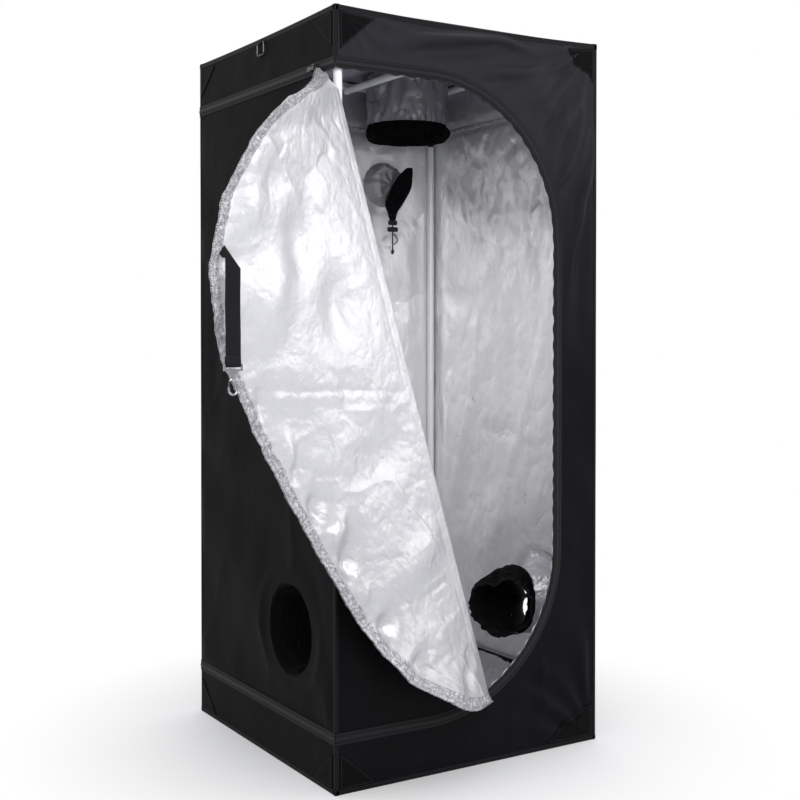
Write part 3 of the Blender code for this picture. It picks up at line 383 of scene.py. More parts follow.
class Nodes:
    """Small helper that builds a material's node tree."""

    def __init__(self, name):
        self.material = bpy.data.materials.new(name)
        self.material.use_nodes = True
        self.tree = self.material.node_tree
        self.shader = self.tree.nodes["Principled BSDF"]
        self.place = self.add("ShaderNodeTexCoord").outputs["Object"]

    def add(self, kind, **settings):
        node = self.tree.nodes.new(kind)
        for key, value in settings.items():
            setattr(node, key, value)
        return node

    def link(self, source, target):
        self.tree.links.new(source, target)

    def math(self, operation, a, b=0.0):
        node = self.add("ShaderNodeMath", operation=operation)
        for socket, value in zip(node.inputs, (a, b)):
            if isinstance(value, (int, float)):
                socket.default_value = value
            else:
                self.link(value, socket)
        return node.outputs[0]

    def noise(self, scale, detail=4.0, rough=0.5, stretch=None):
        place = self.place
        if stretch:
            mapping = self.add("ShaderNodeMapping")
            mapping.inputs["Scale"].default_value = stretch
            self.link(place, mapping.inputs["Vector"])
            place = mapping.outputs[0]
        node = self.add("ShaderNodeTexNoise")
        node.inputs["Scale"].default_value = scale
        node.inputs["Detail"].default_value = detail
        node.inputs["Roughness"].default_value = rough
        self.link(place, node.inputs["Vector"])
        return node.outputs["Fac"]

    def split(self, source):
        node = self.add("ShaderNodeSeparateXYZ")
        self.link(source, node.inputs[0])
        return node.outputs

    def wave(self, value, pitch):
        return self.math("SINE", self.math("MULTIPLY", value, math.tau / pitch))

    def creased(self, scale, detail=1.5, stretch=None):
        """Sharp valleys along wandering lines with smooth film between them; 0 to about 0.5."""
        return self.math("ABSOLUTE", self.math("SUBTRACT", self.noise(scale, detail, 0.5, stretch), 0.5))

    def spread(self, value, low, high, start=0.0, end=1.0):
        node = self.add("ShaderNodeMapRange")
        node.inputs["From Min"].default_value = start
        node.inputs["From Max"].default_value = end
        node.inputs["To Min"].default_value = low
        node.inputs["To Max"].default_value = high
        self.link(value, node.inputs["Value"])
        return node.outputs[0]

    def blend_colour(self, factor, low, high, clamp=True):
        node = self.add("ShaderNodeMix", data_type="RGBA", clamp_factor=clamp)
        for socket, value in (("A", low), ("B", high)):
            if isinstance(value, tuple):
                node.inputs[socket].default_value = (*value, 1)
            else:
                self.link(value, node.inputs[socket])
        self.link(factor, node.inputs["Factor"])
        return node.outputs["Result"]

    def bump(self, height, strength, distance, before=None):
        node = self.add("ShaderNodeBump")
        node.inputs["Strength"].default_value = strength
        node.inputs["Distance"].default_value = distance
        self.link(height, node.inputs["Height"])
        if before is not None:
            self.link(before, node.inputs["Normal"])
        return node.outputs[0]

    def done(self, colour, rough, normal=None, **fixed):
        for name, value in (("Base Color", colour), ("Roughness", rough), ("Normal", normal)):
            socket = self.shader.inputs[name]
            if value is None:
                continue
            if isinstance(value, tuple):
                socket.default_value = (*value, 1)
            elif isinstance(value, (int, float)):
                socket.default_value = value
            else:
                self.link(value, socket)
        for name, value in fixed.items():
            self.shader.inputs[name.replace("_", " ")].default_value = value
        return self.material


def shade(tone, factor, most=1.0):
    """A lighter or darker tone."""
    return tuple(min(c * factor, most) for c in tone)


def weave_height(n, pitch):
    """Crossed threads on any wall that is square to the axes."""
    x, y, z = (n.wave(axis, pitch) for axis in n.split(n.place))
    return n.spread(n.math("ADD", n.math("ADD", x, y), z), 0.0, 1.0, -3.0, 3.0)


def black_cloth(name, dark, light, rough=0.66, painted_shading_by_height=None):
    """Woven cloth; the last argument is (from height, to height, how much lighter), painted light that makes
    the cloth lighter higher up.
    """
    n = Nodes(name)
    patches = n.noise(9.0, 3.0)
    slubs = n.noise(260.0, 2.0, 0.6, (1, 1, 0.12))
    tone = n.math("ADD", n.math("MULTIPLY", patches, 0.7), n.math("MULTIPLY", slubs, 0.3))
    # Painted light: the tone rises with height, so the cloth is lighter towards the top.
    if painted_shading_by_height:
        low, high, lift = painted_shading_by_height
        tone = n.math("ADD", tone, n.spread(n.split(n.place)[2], 0.0, lift, low, high))
    colour = n.blend_colour(tone, dark, light, clamp=not painted_shading_by_height)
    fine = n.bump(weave_height(n, 0.0016), 0.35, 0.0004)
    thread = n.bump(slubs, 0.25, 0.0005, fine)
    soft = n.bump(n.noise(16.0, 5.0, 0.55), 0.30, 0.006, thread)
    return n.done(colour, n.spread(patches, rough - 0.08, rough + 0.08), soft,
                  Specular_IOR_Level=0.05, Sheen_Weight=0.008, Sheen_Roughness=0.45)


def silver_film(name, base, metal, rough, heights, scale, stretch=None, painted_shading_by_height=None):
    """Thin film over cloth: creases of three sizes, the weave showing through, slight tarnish in patches and
    painted shade along the middle-sized creases. The last argument is (from height, to height, how much
    darker), painted shade by height."""
    n = Nodes(name)
    creases = [n.creased(scale * k, d, stretch) for k, d in ((1.0, 2.0), (2.7, 2.0), (6.5, 3.0))]
    # Random tarnish patches, times painted shade that darkens the colour along the middle-sized creases.
    tone = n.math("MULTIPLY", n.noise(5.5, 3.0), n.spread(creases[1], 0.72, 1.0, 0.0, 0.05))
    # Painted shade: the colour darkens with height over the given range, or towards the foot where the range
    # runs downward.
    if painted_shading_by_height:
        low, high, fall = painted_shading_by_height
        height = n.math("ADD", n.split(n.place)[2], n.math("MULTIPLY", n.noise(9.0, 3.0), -0.10))
        tone = n.math("SUBTRACT", tone, n.spread(height, 0.0, fall, low, high))
    colour = n.blend_colour(tone, shade(base, 0.86), shade(base, 1.07, 0.96), clamp=not painted_shading_by_height)
    normal = None
    for crease_height, depth in zip(creases, heights):
        normal = n.bump(crease_height, 1.0, depth, normal)
    normal = n.bump(weave_height(n, 0.0021), 0.16, 0.0003, normal)
    return n.done(colour, n.spread(n.noise(30.0, 4.0), rough - 0.06, rough + 0.10), normal,
                  Metallic=metal, Specular_IOR_Level=0.6)


def coated_steel(name):
    n = Nodes(name)
    speck = n.noise(140.0, 3.0)
    colour = n.blend_colour(n.noise(18.0, 4.0), (0.74, 0.75, 0.77), (0.84, 0.85, 0.87))
    skin = n.bump(speck, 0.10, 0.0004)
    return n.done(colour, n.spread(speck, 0.24, 0.38), skin, Metallic=0.15, Specular_IOR_Level=0.6)


def moulded_plastic(name, tone):
    n = Nodes(name)
    grain = n.noise(900.0, 2.0)
    colour = n.blend_colour(n.noise(60.0, 3.0), shade(tone, 0.8), shade(tone, 1.3))
    return n.done(colour, n.spread(grain, 0.38, 0.52), n.bump(grain, 0.25, 0.0003), Specular_IOR_Level=0.3)


def bright_metal(name, tone, low, high):
    n = Nodes(name)
    wear = n.noise(160.0, 5.0, 0.65)
    colour = n.blend_colour(wear, shade(tone, 0.72), tone)
    return n.done(colour, n.spread(wear, low, high), n.bump(n.noise(400.0, 3.0), 0.12, 0.0003),
                  Metallic=1.0)


def strip_coordinates(n):
    """Distances along a strip and across it."""
    return n.split(n.add("ShaderNodeUVMap", uv_map="UVMap").outputs[0])[:2]


def line_at(n, value, place, width):
    """1 on a narrow line where value is near place."""
    offset = n.math("ABSOLUTE", n.math("SUBTRACT", value, place))
    return n.spread(offset, 1.0, 0.0, width * 0.5, width)


def stitched(name, tone, lines=(), thread=None, rough=0.62, pitch=0.0036, ribs=0.0, film=False):
    """A strip with rows of stitches at given distances across it."""
    n = Nodes(name)
    along, across = strip_coordinates(n)
    patches = n.noise(24.0, 4.0)
    colour = n.blend_colour(patches, shade(tone, 0.75), shade(tone, 1.2))
    dash = n.spread(n.wave(along, pitch), 0, 1, -0.55, 0.1)
    seam = None
    for place in lines:
        row = n.math("MULTIPLY", line_at(n, across, place, 0.0008), dash)
        seam = row if seam is None else n.math("MAXIMUM", seam, row)
    if seam is not None:
        colour = n.blend_colour(seam, colour, thread)
    normal = n.bump(n.wave(across, ribs) if ribs else weave_height(n, 0.0013), 0.3, 0.0003)
    if film:
        small = n.creased(120.0, 2.0)
        normal = n.bump(small, 1.0, 0.0022, n.bump(n.creased(45.0, 2.0), 1.0, 0.0050, normal))
        # Painted shade: the film is darker along the small creases.
        colour = n.blend_colour(n.spread(small, 0.0, 1.0, 0.0, 0.09), shade(tone, 0.45), colour)
    if seam is not None:
        normal = n.bump(seam, 0.8, 0.0006, normal)
    fixed = {"Metallic": 0.35, "Specular_IOR_Level": 0.6} if film else {"Specular_IOR_Level": 0.12}
    return n.done(colour, n.spread(patches, rough - 0.06, rough + 0.06), normal, **fixed)


def zip_tape(name):
    """Woven tape with a smooth, slightly shiny coil along its middle, coloured lighter along the coil as a
    painted highlight.
    """
    n = Nodes(name)
    along, across = strip_coordinates(n)
    coil = line_at(n, across, 0.0, 0.0044)
    teeth = n.spread(n.wave(along, 0.0022), 0, 1, -1, 1)
    ridge = n.math("MULTIPLY", coil, teeth)
    tape = n.blend_colour(n.noise(40.0, 4.0), (0.004, 0.004, 0.005), (0.008, 0.008, 0.009))
    # Painted highlight: the coil's teeth are coloured lighter than the tape.
    colour = n.blend_colour(ridge, tape, (0.016, 0.016, 0.018))
    rows = n.math("MAXIMUM", line_at(n, across, 0.0085, 0.0008), line_at(n, across, -0.0085, 0.0008))
    colour = n.blend_colour(n.math("MULTIPLY", rows, teeth), colour, (0.026, 0.026, 0.029))
    normal = n.bump(ridge, 0.5, 0.0008, n.bump(weave_height(n, 0.0012), 0.3, 0.0003))
    return n.done(colour, n.spread(coil, 0.70, 0.50), normal, Specular_IOR_Level=0.16)


def braided(name):
    n = Nodes(name)
    wave = n.noise(1600.0, 2.0, 0.5, (1, 1, 0.4))
    colour = n.blend_colour(wave, (0.010, 0.010, 0.011), (0.035, 0.035, 0.038))
    return n.done(colour, 0.7, n.bump(wave, 0.6, 0.0006))


make_camera()
CLOTH_OUT = black_cloth("woven_outside", (0.0018, 0.0018, 0.0021), (0.0040, 0.0040, 0.0048))
# The front's cloth: painted light, with tones set lighter than the outside cloth's and rising towards the
# top.
CLOTH_FRONT = black_cloth("woven_front", (0.0022, 0.0022, 0.0027), (0.0060, 0.0060, 0.0073), 0.46,
                          (0.75, 1.30, 4.5))
# The lining: painted shade darkens it towards the roof.
FILM_WALL = silver_film("film_lining", (0.93, 0.93, 0.955), 0.55, 0.29, (0.0210, 0.0072, 0.0016), 5.2,
                        (1, 1, 0.75), (1.18, 1.33, 2.6))
# The door's film: painted shade darkens it towards its foot.
FILM_FLAP = silver_film("film_door", (0.68, 0.68, 0.705), 0.42, 0.33, (0.0070, 0.0030, 0.0013), 9.0, None,
                        (0.85, 0.20, 1.15))
FILM_SOFT = silver_film("film_crumpled", (0.62, 0.62, 0.65), 0.50, 0.32, (0.0080, 0.0034, 0.0010), 20.0)
# Painted shade: a dark copy of the silver film, for film that lies in shade.
FILM_GREY = silver_film("film_grey", (0.30, 0.30, 0.32), 0.50, 0.40, (0.0050, 0.0020, 0.0007), 22.0)
# Painted shade: a darker copy of the silver film, for the roof sleeve in the shade under the roof.
FILM_SHADE = silver_film("film_shade", (0.27, 0.27, 0.29), 0.50, 0.36, (0.0110, 0.0040, 0.0012), 8.0)
BLACK_SOFT = black_cloth("woven_soft", (0.002, 0.002, 0.0025), (0.004, 0.004, 0.005), 0.78)
BINDING = stitched("edge_binding", (0.006, 0.006, 0.007), (0.0075, -0.0075), (0.022, 0.022, 0.024))
WEBBING = stitched("strap_webbing", (0.007, 0.007, 0.008), (0.0105, -0.0105), (0.020, 0.020, 0.022),
                   0.60, 0.0030, 0.0016)
HEM_FILM = stitched("film_hem", (0.50, 0.50, 0.53), (0.0038, -0.0038), (0.28, 0.28, 0.30), 0.34, 0.0042,
                    film=True)
SEAM_FILM = stitched("film_seam", (0.60, 0.60, 0.63), (0.0032, -0.0032), (0.30, 0.30, 0.32), 0.38, 0.0040,
                     film=True)
THREAD = stitched("sewing_thread", (0.030, 0.030, 0.033), rough=0.5)
ZIP = zip_tape("zip_tape")
CORD = braided("draw_cord")
STEEL = coated_steel("coated_steel")
PLASTIC = moulded_plastic("moulded_plastic", (0.008, 0.008, 0.009))
METAL = bright_metal("bright_metal", (0.34, 0.34, 0.36), 0.14, 0.30)
DARK_METAL = bright_metal("dark_metal", (0.10, 0.10, 0.105), 0.24, 0.38)

# Cords: the straight strand hangs from the drawn sleeve, the bowed one from the lock's underside
NECK = Vector((0.15696, 0.2497, 1.0827))
STRAND_LENGTH = 0.079
STRAND = [NECK - Vector((0, 0, STRAND_LENGTH * i / 14)) for i in range(15)]
LEAVE = NECK - Vector((0, 0, 0.0115 + 0.0045 + 0.0108 + 0.004 + 0.0013))
BOW = smooth_route([LEAVE + Vector((across, 0, -drop)) for drop, across in (
    (0.0000, 0.0032), (0.0028, 0.0060), (0.0060, 0.0096), (0.0095, 0.0122), (0.0130, 0.0132),
    (0.0165, 0.0122), (0.0195, 0.0096), (0.0222, 0.0062), (0.0245, 0.0034))], 16)


def make_cords():
    straight = mark(strand("draw_cord_hanging", STRAND, 0.0016, CORD), "draw_cord_straight")
    bow = mark(strand("draw_cord_loop", BOW, 0.0013, CORD), "draw_cord_bow")
    end = STRAND[-1]
    knot = mark(tube("draw_cord_knot", [(
        end.x + 0.0026 * math.cos(t), end.y + 0.0022 * math.sin(t), end.z + 0.0095 - 0.0028 * t / math.tau)
        for t in np.linspace(0, 2.6 * math.tau, 44)], 0.0014, CORD))


def dress_nodes():
    """Give the hard CAD nodes their finishes."""
    for name, node in NODES.items():
        if name.startswith(("rail_", "pole_", "hanging_bar")):
            finish = STEEL
        elif name.startswith(("corner_", "cord_lock", "roof_cord")):
            finish = PLASTIC
        elif name.startswith(("slider_", "pull_tab", "tie_ring", "snap_gate")):
            finish = DARK_METAL
        elif name in ("strap_eye", "snap_hook"):
            finish = METAL
        else:
            continue
        node.data.materials.clear()
        node.data.materials.append(finish)


# Walls

LINED = [CLOTH_OUT, FILM_WALL, BINDING]
FOLD_TOP = np.array((-HALF, 0.0, FOLD_Z))
FOLD_END = np.array((ARC_X + ZIP_R * math.cos(math.radians(FOLD_TURN)), 0.0,
                     ARC_LOW + ZIP_R * math.sin(math.radians(FOLD_TURN))))


def zip_distance(x, z):
    """How far a place on the front lies outside the zip line; negative inside it."""
    dx = x - ARC_X
    turn = np.hypot(np.maximum(dx, 0), np.where(z > ARC_HIGH, z - ARC_HIGH, ARC_LOW - z))
    return np.where((z <= ARC_HIGH) & (z >= ARC_LOW), dx, turn) - ZIP_R


def top_dip(across, deep):
    """How far a top edge hangs between its corners."""
    return deep * np.clip(1 - (across / HALF) ** 2, 0, 1)


def from_edge(a, b):
    """0 at the edges of the roof or floor, 1 in its middle."""
    return 1 - np.maximum(np.abs(a), np.abs(b)) / HALF


def wall_place(side, axis, sign):
    """A map from a wall's flat places and levels to points."""
    def place(a, b, level):
        out = sign * (HALF + level)
        height = b - top_dip(a, DIPS[side]) * ramp(b, DIP_FROM, TOP)
        return np.stack(np.broadcast_arrays(*((out, a, height) if axis == 0 else (a, out, height))), 1)
    return place


front_place, back_place = wall_place("front", 1, -1), wall_place("back", 1, 1)
left_place, right_place = wall_place("left", 0, -1), wall_place("right", 0, 1)


def near_edges(a, b, low_b, high_b, reach):
    """0 at the wall's edges, 1 further in."""
    return (ramp(a, -HALF, -HALF + reach) * ramp(-a, -HALF, -HALF + reach)
            * ramp(b, low_b, low_b + reach) * ramp(-b, -high_b, -high_b + reach))


def outer_relief(a, b, seed, size, amount):
    """Shallow bulges and pulled folds of the woven outside."""
    wide = cloud(a, b, size * 2.2, seed) - 0.5
    folds = crease(a, b * 0.6 + a * 0.4, size, seed + 3, 2.0) - 0.3
    return amount * (1.1 * wide + 0.8 * folds)


def corner_pull(a, b, corner, seed, amount):
    """Folds that fan out from a corner where the cloth is pulled tight."""
    dx, dz = corner[0] - a, corner[1] - b
    reach = np.hypot(dx, dz)
    turn = np.arctan2(dz, dx)
    wander = 1.6 * (cloud(a, b, 0.12, seed) - 0.5)
    fan = np.sin(turn * 19 + wander * 3 + seed)
    return amount * fan * ramp(reach, 0.02, 0.09) * (1 - ramp(reach, 0.14, 0.34))


def front_relief(x, z):
    """The front's folds: they fan out from its corners, most of all from the top right one."""
    free = ramp(zip_distance(x, z), 0.012, 0.06) * near_edges(x, z, 0, TOP, 0.03)
    inset = 0.15 + 0.85 * near_edges(x, z, 0.01, TOP - 0.01, 0.05)
    pulled = corner_pull(x, z, (0.30, 1.40), 5, 0.0045) + corner_pull(x, z, (-0.30, 1.40), 8, 0.0030)
    pulled += corner_pull(x, z, (0.30, 0.0), 13, 0.0030)
    reach, turn = np.hypot(0.33 - x, 1.43 - z), np.arctan2(1.43 - z, 0.33 - x)
    wander = cloud(x, z, 0.11, 17)
    fan = np.sin(turn * 31 + 4 * wander) + 0.45 * np.sin(turn * 57 + 6 * wander)
    pulled += 0.0080 * fan * ramp(reach, 0.10, 0.26) * (1 - ramp(reach, 0.42, 0.66)) * (0.4 + wander)
    side = 0.0018 * np.sin((z + 0.5 * x) * math.tau / 0.17 + 4 * cloud(x, z, 0.2, 31))
    level = free * (outer_relief(x, z, 41, 0.09, 0.0040) + pulled + side)
    return np.maximum(level, level * inset * 0.7)


def lining_relief(a, b, seed, amount):
    """Loose folds of the silver lining, from 0 inwards."""
    wide = cloud(a, b * 0.45, 0.17, seed)
    soft = cloud(a + 0.3 * b, b * 0.5, 0.075, seed + 3)
    folds = crease(a + 0.25 * b, b * 0.5, 0.15, seed + 5, 1.6)
    high = 0.25 + 0.75 * ramp(b, 0.85, 1.15)
    planes = facets(a + b * 0.2, b * 0.7, 0.065, seed + 9) + 0.5 * facets(a, b, 0.027, seed + 13)
    return amount * (0.65 * wide + 0.28 * soft + 0.22 * folds + high * 0.45 * planes + 0.1)


def behind(level, lined):
    """The lining's level: behind the outside wherever that is drawn in."""
    return np.minimum(level, 0.0) - LINING_DEPTH - lined


def poles_clear(a, b):
    """Keeps the lining off the poles and rails: 0 beside them, 1 between them."""
    return 0.10 + 0.90 * (ramp(a, -0.272, -0.215) * ramp(-a, -0.272, -0.215)
                          * ramp(b, 0.03, 0.09) * ramp(-b, -1.36, -1.30))


def front_quads():
    """Quads between the door's opening and the front's edges, along rays that fit both."""
    inner, outer = [], []
    edge = 0.00015
    low, high = CLOTH + GAP, TOP - CLOTH - GAP
    for x in np.linspace(-HALF, ARC_X, 41)[:-1]:
        inner.append((x, DOOR_TOP + edge))
        outer.append((x, high))
    for centre, start, end in ((ARC_HIGH, 90, 0), (ARC_LOW, 0, -90)):
        limit = (high - centre) if start == 90 else (centre - low)
        for turn in np.radians(np.linspace(start, end, 113)):
            c, s = math.cos(turn), math.sin(turn)
            reach = min((HALF - ARC_X) / max(abs(c), 1e-9), limit / max(abs(s), 1e-9))
            inner.append((ARC_X + (ZIP_R + edge) * c, centre + (ZIP_R + edge) * s))
            outer.append((ARC_X + reach * c, centre + reach * s))
        if start == 90:
            for z in np.linspace(ARC_HIGH, ARC_LOW, 121)[1:-1]:
                inner.append((ARC_X + ZIP_R + edge, z))
                outer.append((HALF, z))
    for x in np.linspace(ARC_X, -HALF, 41)[1:]:
        inner.append((x, DOOR_LOW - edge))
        outer.append((x, low))
    inner, outer = np.array(inner), np.array(outer)
    cols = 47
    share = np.linspace(0, 1, cols)[None, :, None]
    flat = inner[:, None] * (1 - share) + outer[:, None] * share
    return flat.reshape(-1, 2), grid_quads(len(inner), cols)


def make_front():
    flat, quads = front_quads()
    x, z = flat[:, 0], flat[:, 1]
    level = front_relief(x, z)
    outer = front_place(x, z, level)
    lined = lining_relief(x, z, 71, 0.003) * near_edges(x, z, 0, TOP, 0.05)
    inner = front_place(x, z, behind(level, lined * ramp(zip_distance(x, z), 0.0, 0.03)))
    wall = mark(cloth("front_wall", quads, outer, inner, [CLOTH_FRONT, FILM_WALL, BINDING]),
                "panel_front")


def wall_panel(name, node, low, high, hole, place, outer_field, inner_field):
    """A flat wall with its relief outside and its lining inside."""
    a, b, quads = panel_grid(low, high, WALL_STEP, hole)
    level = outer_field(a, b)
    flat = poles_clear(a, b) * (1 - 0.9 * np.exp(-((b - SEAM_Z) / 0.02) ** 2))
    level = np.maximum(level, level * 0.9 * flat)
    wall = mark(cloth(name, quads, place(a, b, level), place(a, b, behind(level, inner_field(a, b))), LINED),
                node)


def hole_clear(a, b, hole, reach=0.05):
    """0 at a round hole's edge, 1 further off."""
    return ramp(np.hypot(a - hole[0], b - hole[1]) - hole[2], 0.012, reach)


def make_walls():
    side = HALF - CLOTH - GAP
    low, high = CLOTH + GAP, TOP - CLOTH - GAP

    def plain(seed, hole):
        def field(a, b):
            mask = near_edges(a, b, low, high, 0.035) * hole_clear(a, b, hole)
            corners = ((-HALF, high), (HALF, high), (HALF, low), (-HALF, low))
            pulls = sum(corner_pull(a, b, corner, seed + 2 * k, 0.0035) for k, corner in enumerate(corners))
            return mask * (outer_relief(a, b, seed, 0.10, 0.0035) + 0.7 * pulls)
        return field

    def lined(seed, hole):
        def field(a, b):
            mask = (poles_clear(a, b) * (0.25 + 0.75 * hole_clear(a, b, hole, 0.11))
                    * hole_clear(a, b, hole, 0.02))
            beside_seam = 0.25 + 0.75 * ramp(np.abs(b - SEAM_Z), 0.004, 0.02)
            return mask * (lining_relief(a, b, seed, 0.012) * beside_seam)
        return field

    port = (PORT_Y, PORT_Z, PORT_R)
    wall_panel("right_wall", "panel_right", (-side, low), (side, high), port, right_place,
               plain(101, port), lined(111, port))
    wall_panel("back_wall", "panel_back", (-HALF, low), (HALF, high), BACK_PORT, back_place,
               plain(121, BACK_PORT), lined(131, BACK_PORT))
    edge = GAP / 2
    wall_panel("left_band_low", "band_left_bottom", (-side, low), (side, DOOR_LOW - edge), None, left_place,
               lambda a, b: 0.0012 * (cloud(a, b, 0.07, 141) - 0.5) * near_edges(a, b, low, 0.1, 0.02),
               lambda a, b: np.zeros_like(a))
    wall_panel("left_band_top", "band_left_top", (-side, DOOR_TOP + edge), (side, high), None, left_place,
               lambda a, b: 0.0022 * (cloud(a, b, 0.06, 151) - 0.4) * near_edges(a, b, DOOR_TOP, TOP, 0.02),
               lambda a, b: np.zeros_like(a))
    make_door_side(side, edge, port)
    make_door_front(edge)
    make_roof_and_floor()


def make_door_side(side, edge, port):
    """The door's left part; its front top corner is folded away with the flap."""
    low, high = DOOR_LOW + edge, DOOR_TOP - edge
    a, b, quads = panel_grid((-side, low), (side, high), WALL_STEP, port)
    cut_length = 0.0517
    b = np.minimum(b, FOLD_Z + (a + side) * (high - FOLD_Z) / cut_length)
    quads = quads[np.ptp(b[quads], axis=1) > 1e-5]
    mask = near_edges(a, b, low, high, 0.03) * hole_clear(a, b, port, 0.045)
    sag = 0.0030 * np.sin((b - 0.35 * a) * math.tau / 0.30 + 5 * cloud(a, b, 0.25, 161))
    ring = 0.0030 * np.exp(-((np.hypot(a - port[0], b - port[1]) - port[2] - 0.03) / 0.018) ** 2)
    level = mask * (outer_relief(a, b, 163, 0.12, 0.0040) + sag + ring)
    level = np.maximum(level, level * 0.9 * poles_clear(a, b))
    lined = lining_relief(a, b, 171, 0.009) * poles_clear(a, b) * hole_clear(a, b, port, 0.04)
    outer, inner = left_place(a, b, level), left_place(a, b, behind(level, lined))
    wall = mark(cloth("door_left_side", quads, outer, inner, LINED), "door_side_panel")


def fold_x(z):
    """Where the fold crosses the front at a height."""
    return -HALF + (FOLD_Z - z) * FOLD_SLOPE


def make_door_front(edge):
    """The part of the door's front that is still zipped, left of the fold."""
    rows, cols = 150, 40
    end_z = FOLD_END[2]
    heights = np.concatenate([
        np.linspace(FOLD_Z, end_z, rows),
        ARC_LOW + (ZIP_R - edge) * np.sin(np.radians(np.linspace(FOLD_TURN, -90, 16)))[1:]])
    x, z = [], []
    for height in heights:
        right = fold_x(height)
        if height < end_z:
            right = ARC_X + math.sqrt(max((ZIP_R - edge) ** 2 - (height - ARC_LOW) ** 2, 0))
        x.append(np.linspace(-HALF, max(right, -HALF + 1e-4), cols))
        z.append(np.full(cols, height))
    x, z = np.concatenate(x), np.concatenate(z)
    quads = grid_quads(len(heights), cols)
    mask = ramp(-zip_distance(x, z), 0.012, 0.06) * ramp(fold_x(z) - x, 0.012, 0.06) * ramp(x, -HALF, -0.26)
    field = outer_relief(x, z, 181, 0.11, 0.0036) + 0.002 * np.sin((z + 0.8 * x) * math.tau / 0.22)
    level = np.minimum(mask * field, 0.002)
    outer = front_place(x, z, level)
    inner = front_place(x, z, behind(level, lining_relief(x, z, 191, 0.006) * mask))
    wall = mark(cloth("door_front_zipped", quads, outer, inner, [CLOTH_FRONT, FILM_WALL, BINDING]),
                "door_front_panel")


def make_roof_and_floor():
    a, b, quads = panel_grid((-HALF, -HALF), (HALF, HALF), 0.0065, ROOF_PORT)
    edge = from_edge(a, b)
    sides = np.where(np.abs(b) > np.abs(a), top_dip(a, 0.0055), top_dip(b, 0.0035))
    belly = 0.010 * ramp(edge, 0.10, 0.7) * hole_clear(a, b, ROOF_PORT, 0.10)
    drop = sides * (1 - ramp(edge, 0.0, 0.04)) + belly * (0.8 + 0.4 * cloud(a, b, 0.15, 201))
    beside_port = hole_clear(a, b, ROOF_PORT)
    relief = outer_relief(a, b, 203, 0.09, 0.003) * ramp(edge, 0.08, 0.2) * beside_port
    lined = 0.4 * lining_relief(a, b, 211, 0.008) * beside_port * ramp(edge, 0.10, 0.25)
    roof = mark(cloth("roof", quads, np.stack([a, b, TOP - drop + relief], 1),
                      np.stack([a, b, TOP - drop + behind(relief, lined)], 1), LINED),
                "panel_roof")
    a, b, quads = panel_grid((-HALF, -HALF), (HALF, HALF), 0.02)
    relief = 0.0006 * facets(a, b, 0.08, 221) * ramp(from_edge(a, b), 0.05, 0.2)
    floor = mark(cloth("tent_floor", quads, np.stack([a, b, np.zeros_like(a)], 1),
                       np.stack([a, b, CLOTH + np.clip(relief, -0.0003, 0.0002)], 1), LINED),
                 "panel_floor")


# Bindings, zips and seams

def corner_profile(width):
    """An L of tape round a box edge: pairs of (in along one face, in along the other)."""
    proud, round_r = 0.0007, 0.0024
    outer = [(-proud, width)]
    for turn in np.radians(np.linspace(180, 270, 5)):
        outer.append((round_r - proud + round_r * math.cos(turn), round_r - proud + round_r * math.sin(turn)))
    outer.append((width, -proud))
    return outer + [(width, 0.0006), (0.0006, 0.0006), (0.0006, width)]


def edge_tape(name, path, first, second, width):
    """Tape sewn round an edge; first and second point from the edge into the two faces."""
    profile = np.array(corner_profile(width))
    signed = np.where(profile[:, 0] < 0.0012, profile[:, 1], -profile[:, 0])
    mark(ribbon(name, path, first, second, profile, BINDING, sewn=signed))


def make_bindings():
    span = np.linspace(-HALF, HALF, 61)
    for name, inward, place in (
            ("front", BACK, lambda a, z: (a, -HALF, z)), ("back", NEAR, lambda a, z: (a, HALF, z)),
            ("left", RIGHT, lambda a, z: (-HALF, a, z)), ("right", LEFT, lambda a, z: (HALF, a, z))):
        top = [place(a, TOP - dip) for a, dip in zip(span, top_dip(span, DIPS[name]))]
        edge_tape(f"binding_top_{name}", top, inward, DOWN, 0.0095)
        edge_tape(f"binding_low_{name}", [place(a, 0.0002) for a in span], inward, UP, 0.008)
    heights = np.linspace(0.001, TOP - 0.001, 90)
    sway = 0.0005 * (cloud(heights, 0, 0.2, 311) - 0.5)
    for name, x, y, first, second in (("front_right", HALF, -HALF, BACK, LEFT),
                                      ("back_left", -HALF, HALF, NEAR, RIGHT),
                                      ("back_right", HALF, HALF, NEAR, LEFT)):
        edge_tape(f"binding_{name}", [(x + w, y, z) for z, w in zip(heights, sway)], first, second, 0.0065)
    for name, low, high, count, width in (
            ("binding_front_left_low", 0.001, DOOR_LOW - 0.012, 12, 0.0065),
            ("binding_front_left_top", DOOR_TOP + 0.012, TOP - 0.001, 12, 0.0065),
            ("binding_door_corner", DOOR_LOW + 0.012, FOLD_Z - 0.012, 80, 0.0060)):
        edge_tape(name, [(-HALF, -HALF, z) for z in np.linspace(low, high, count)], BACK, RIGHT, width)


ZIP_PROFILE = [
    (-0.0110, 0.0004), (0.0110, 0.0004), (0.0110, 0.0012), (0.0034, 0.0014), (0.0022, 0.0021),
    (0.0000, 0.0024), (-0.0022, 0.0021), (-0.0034, 0.0014), (-0.0110, 0.0012)]


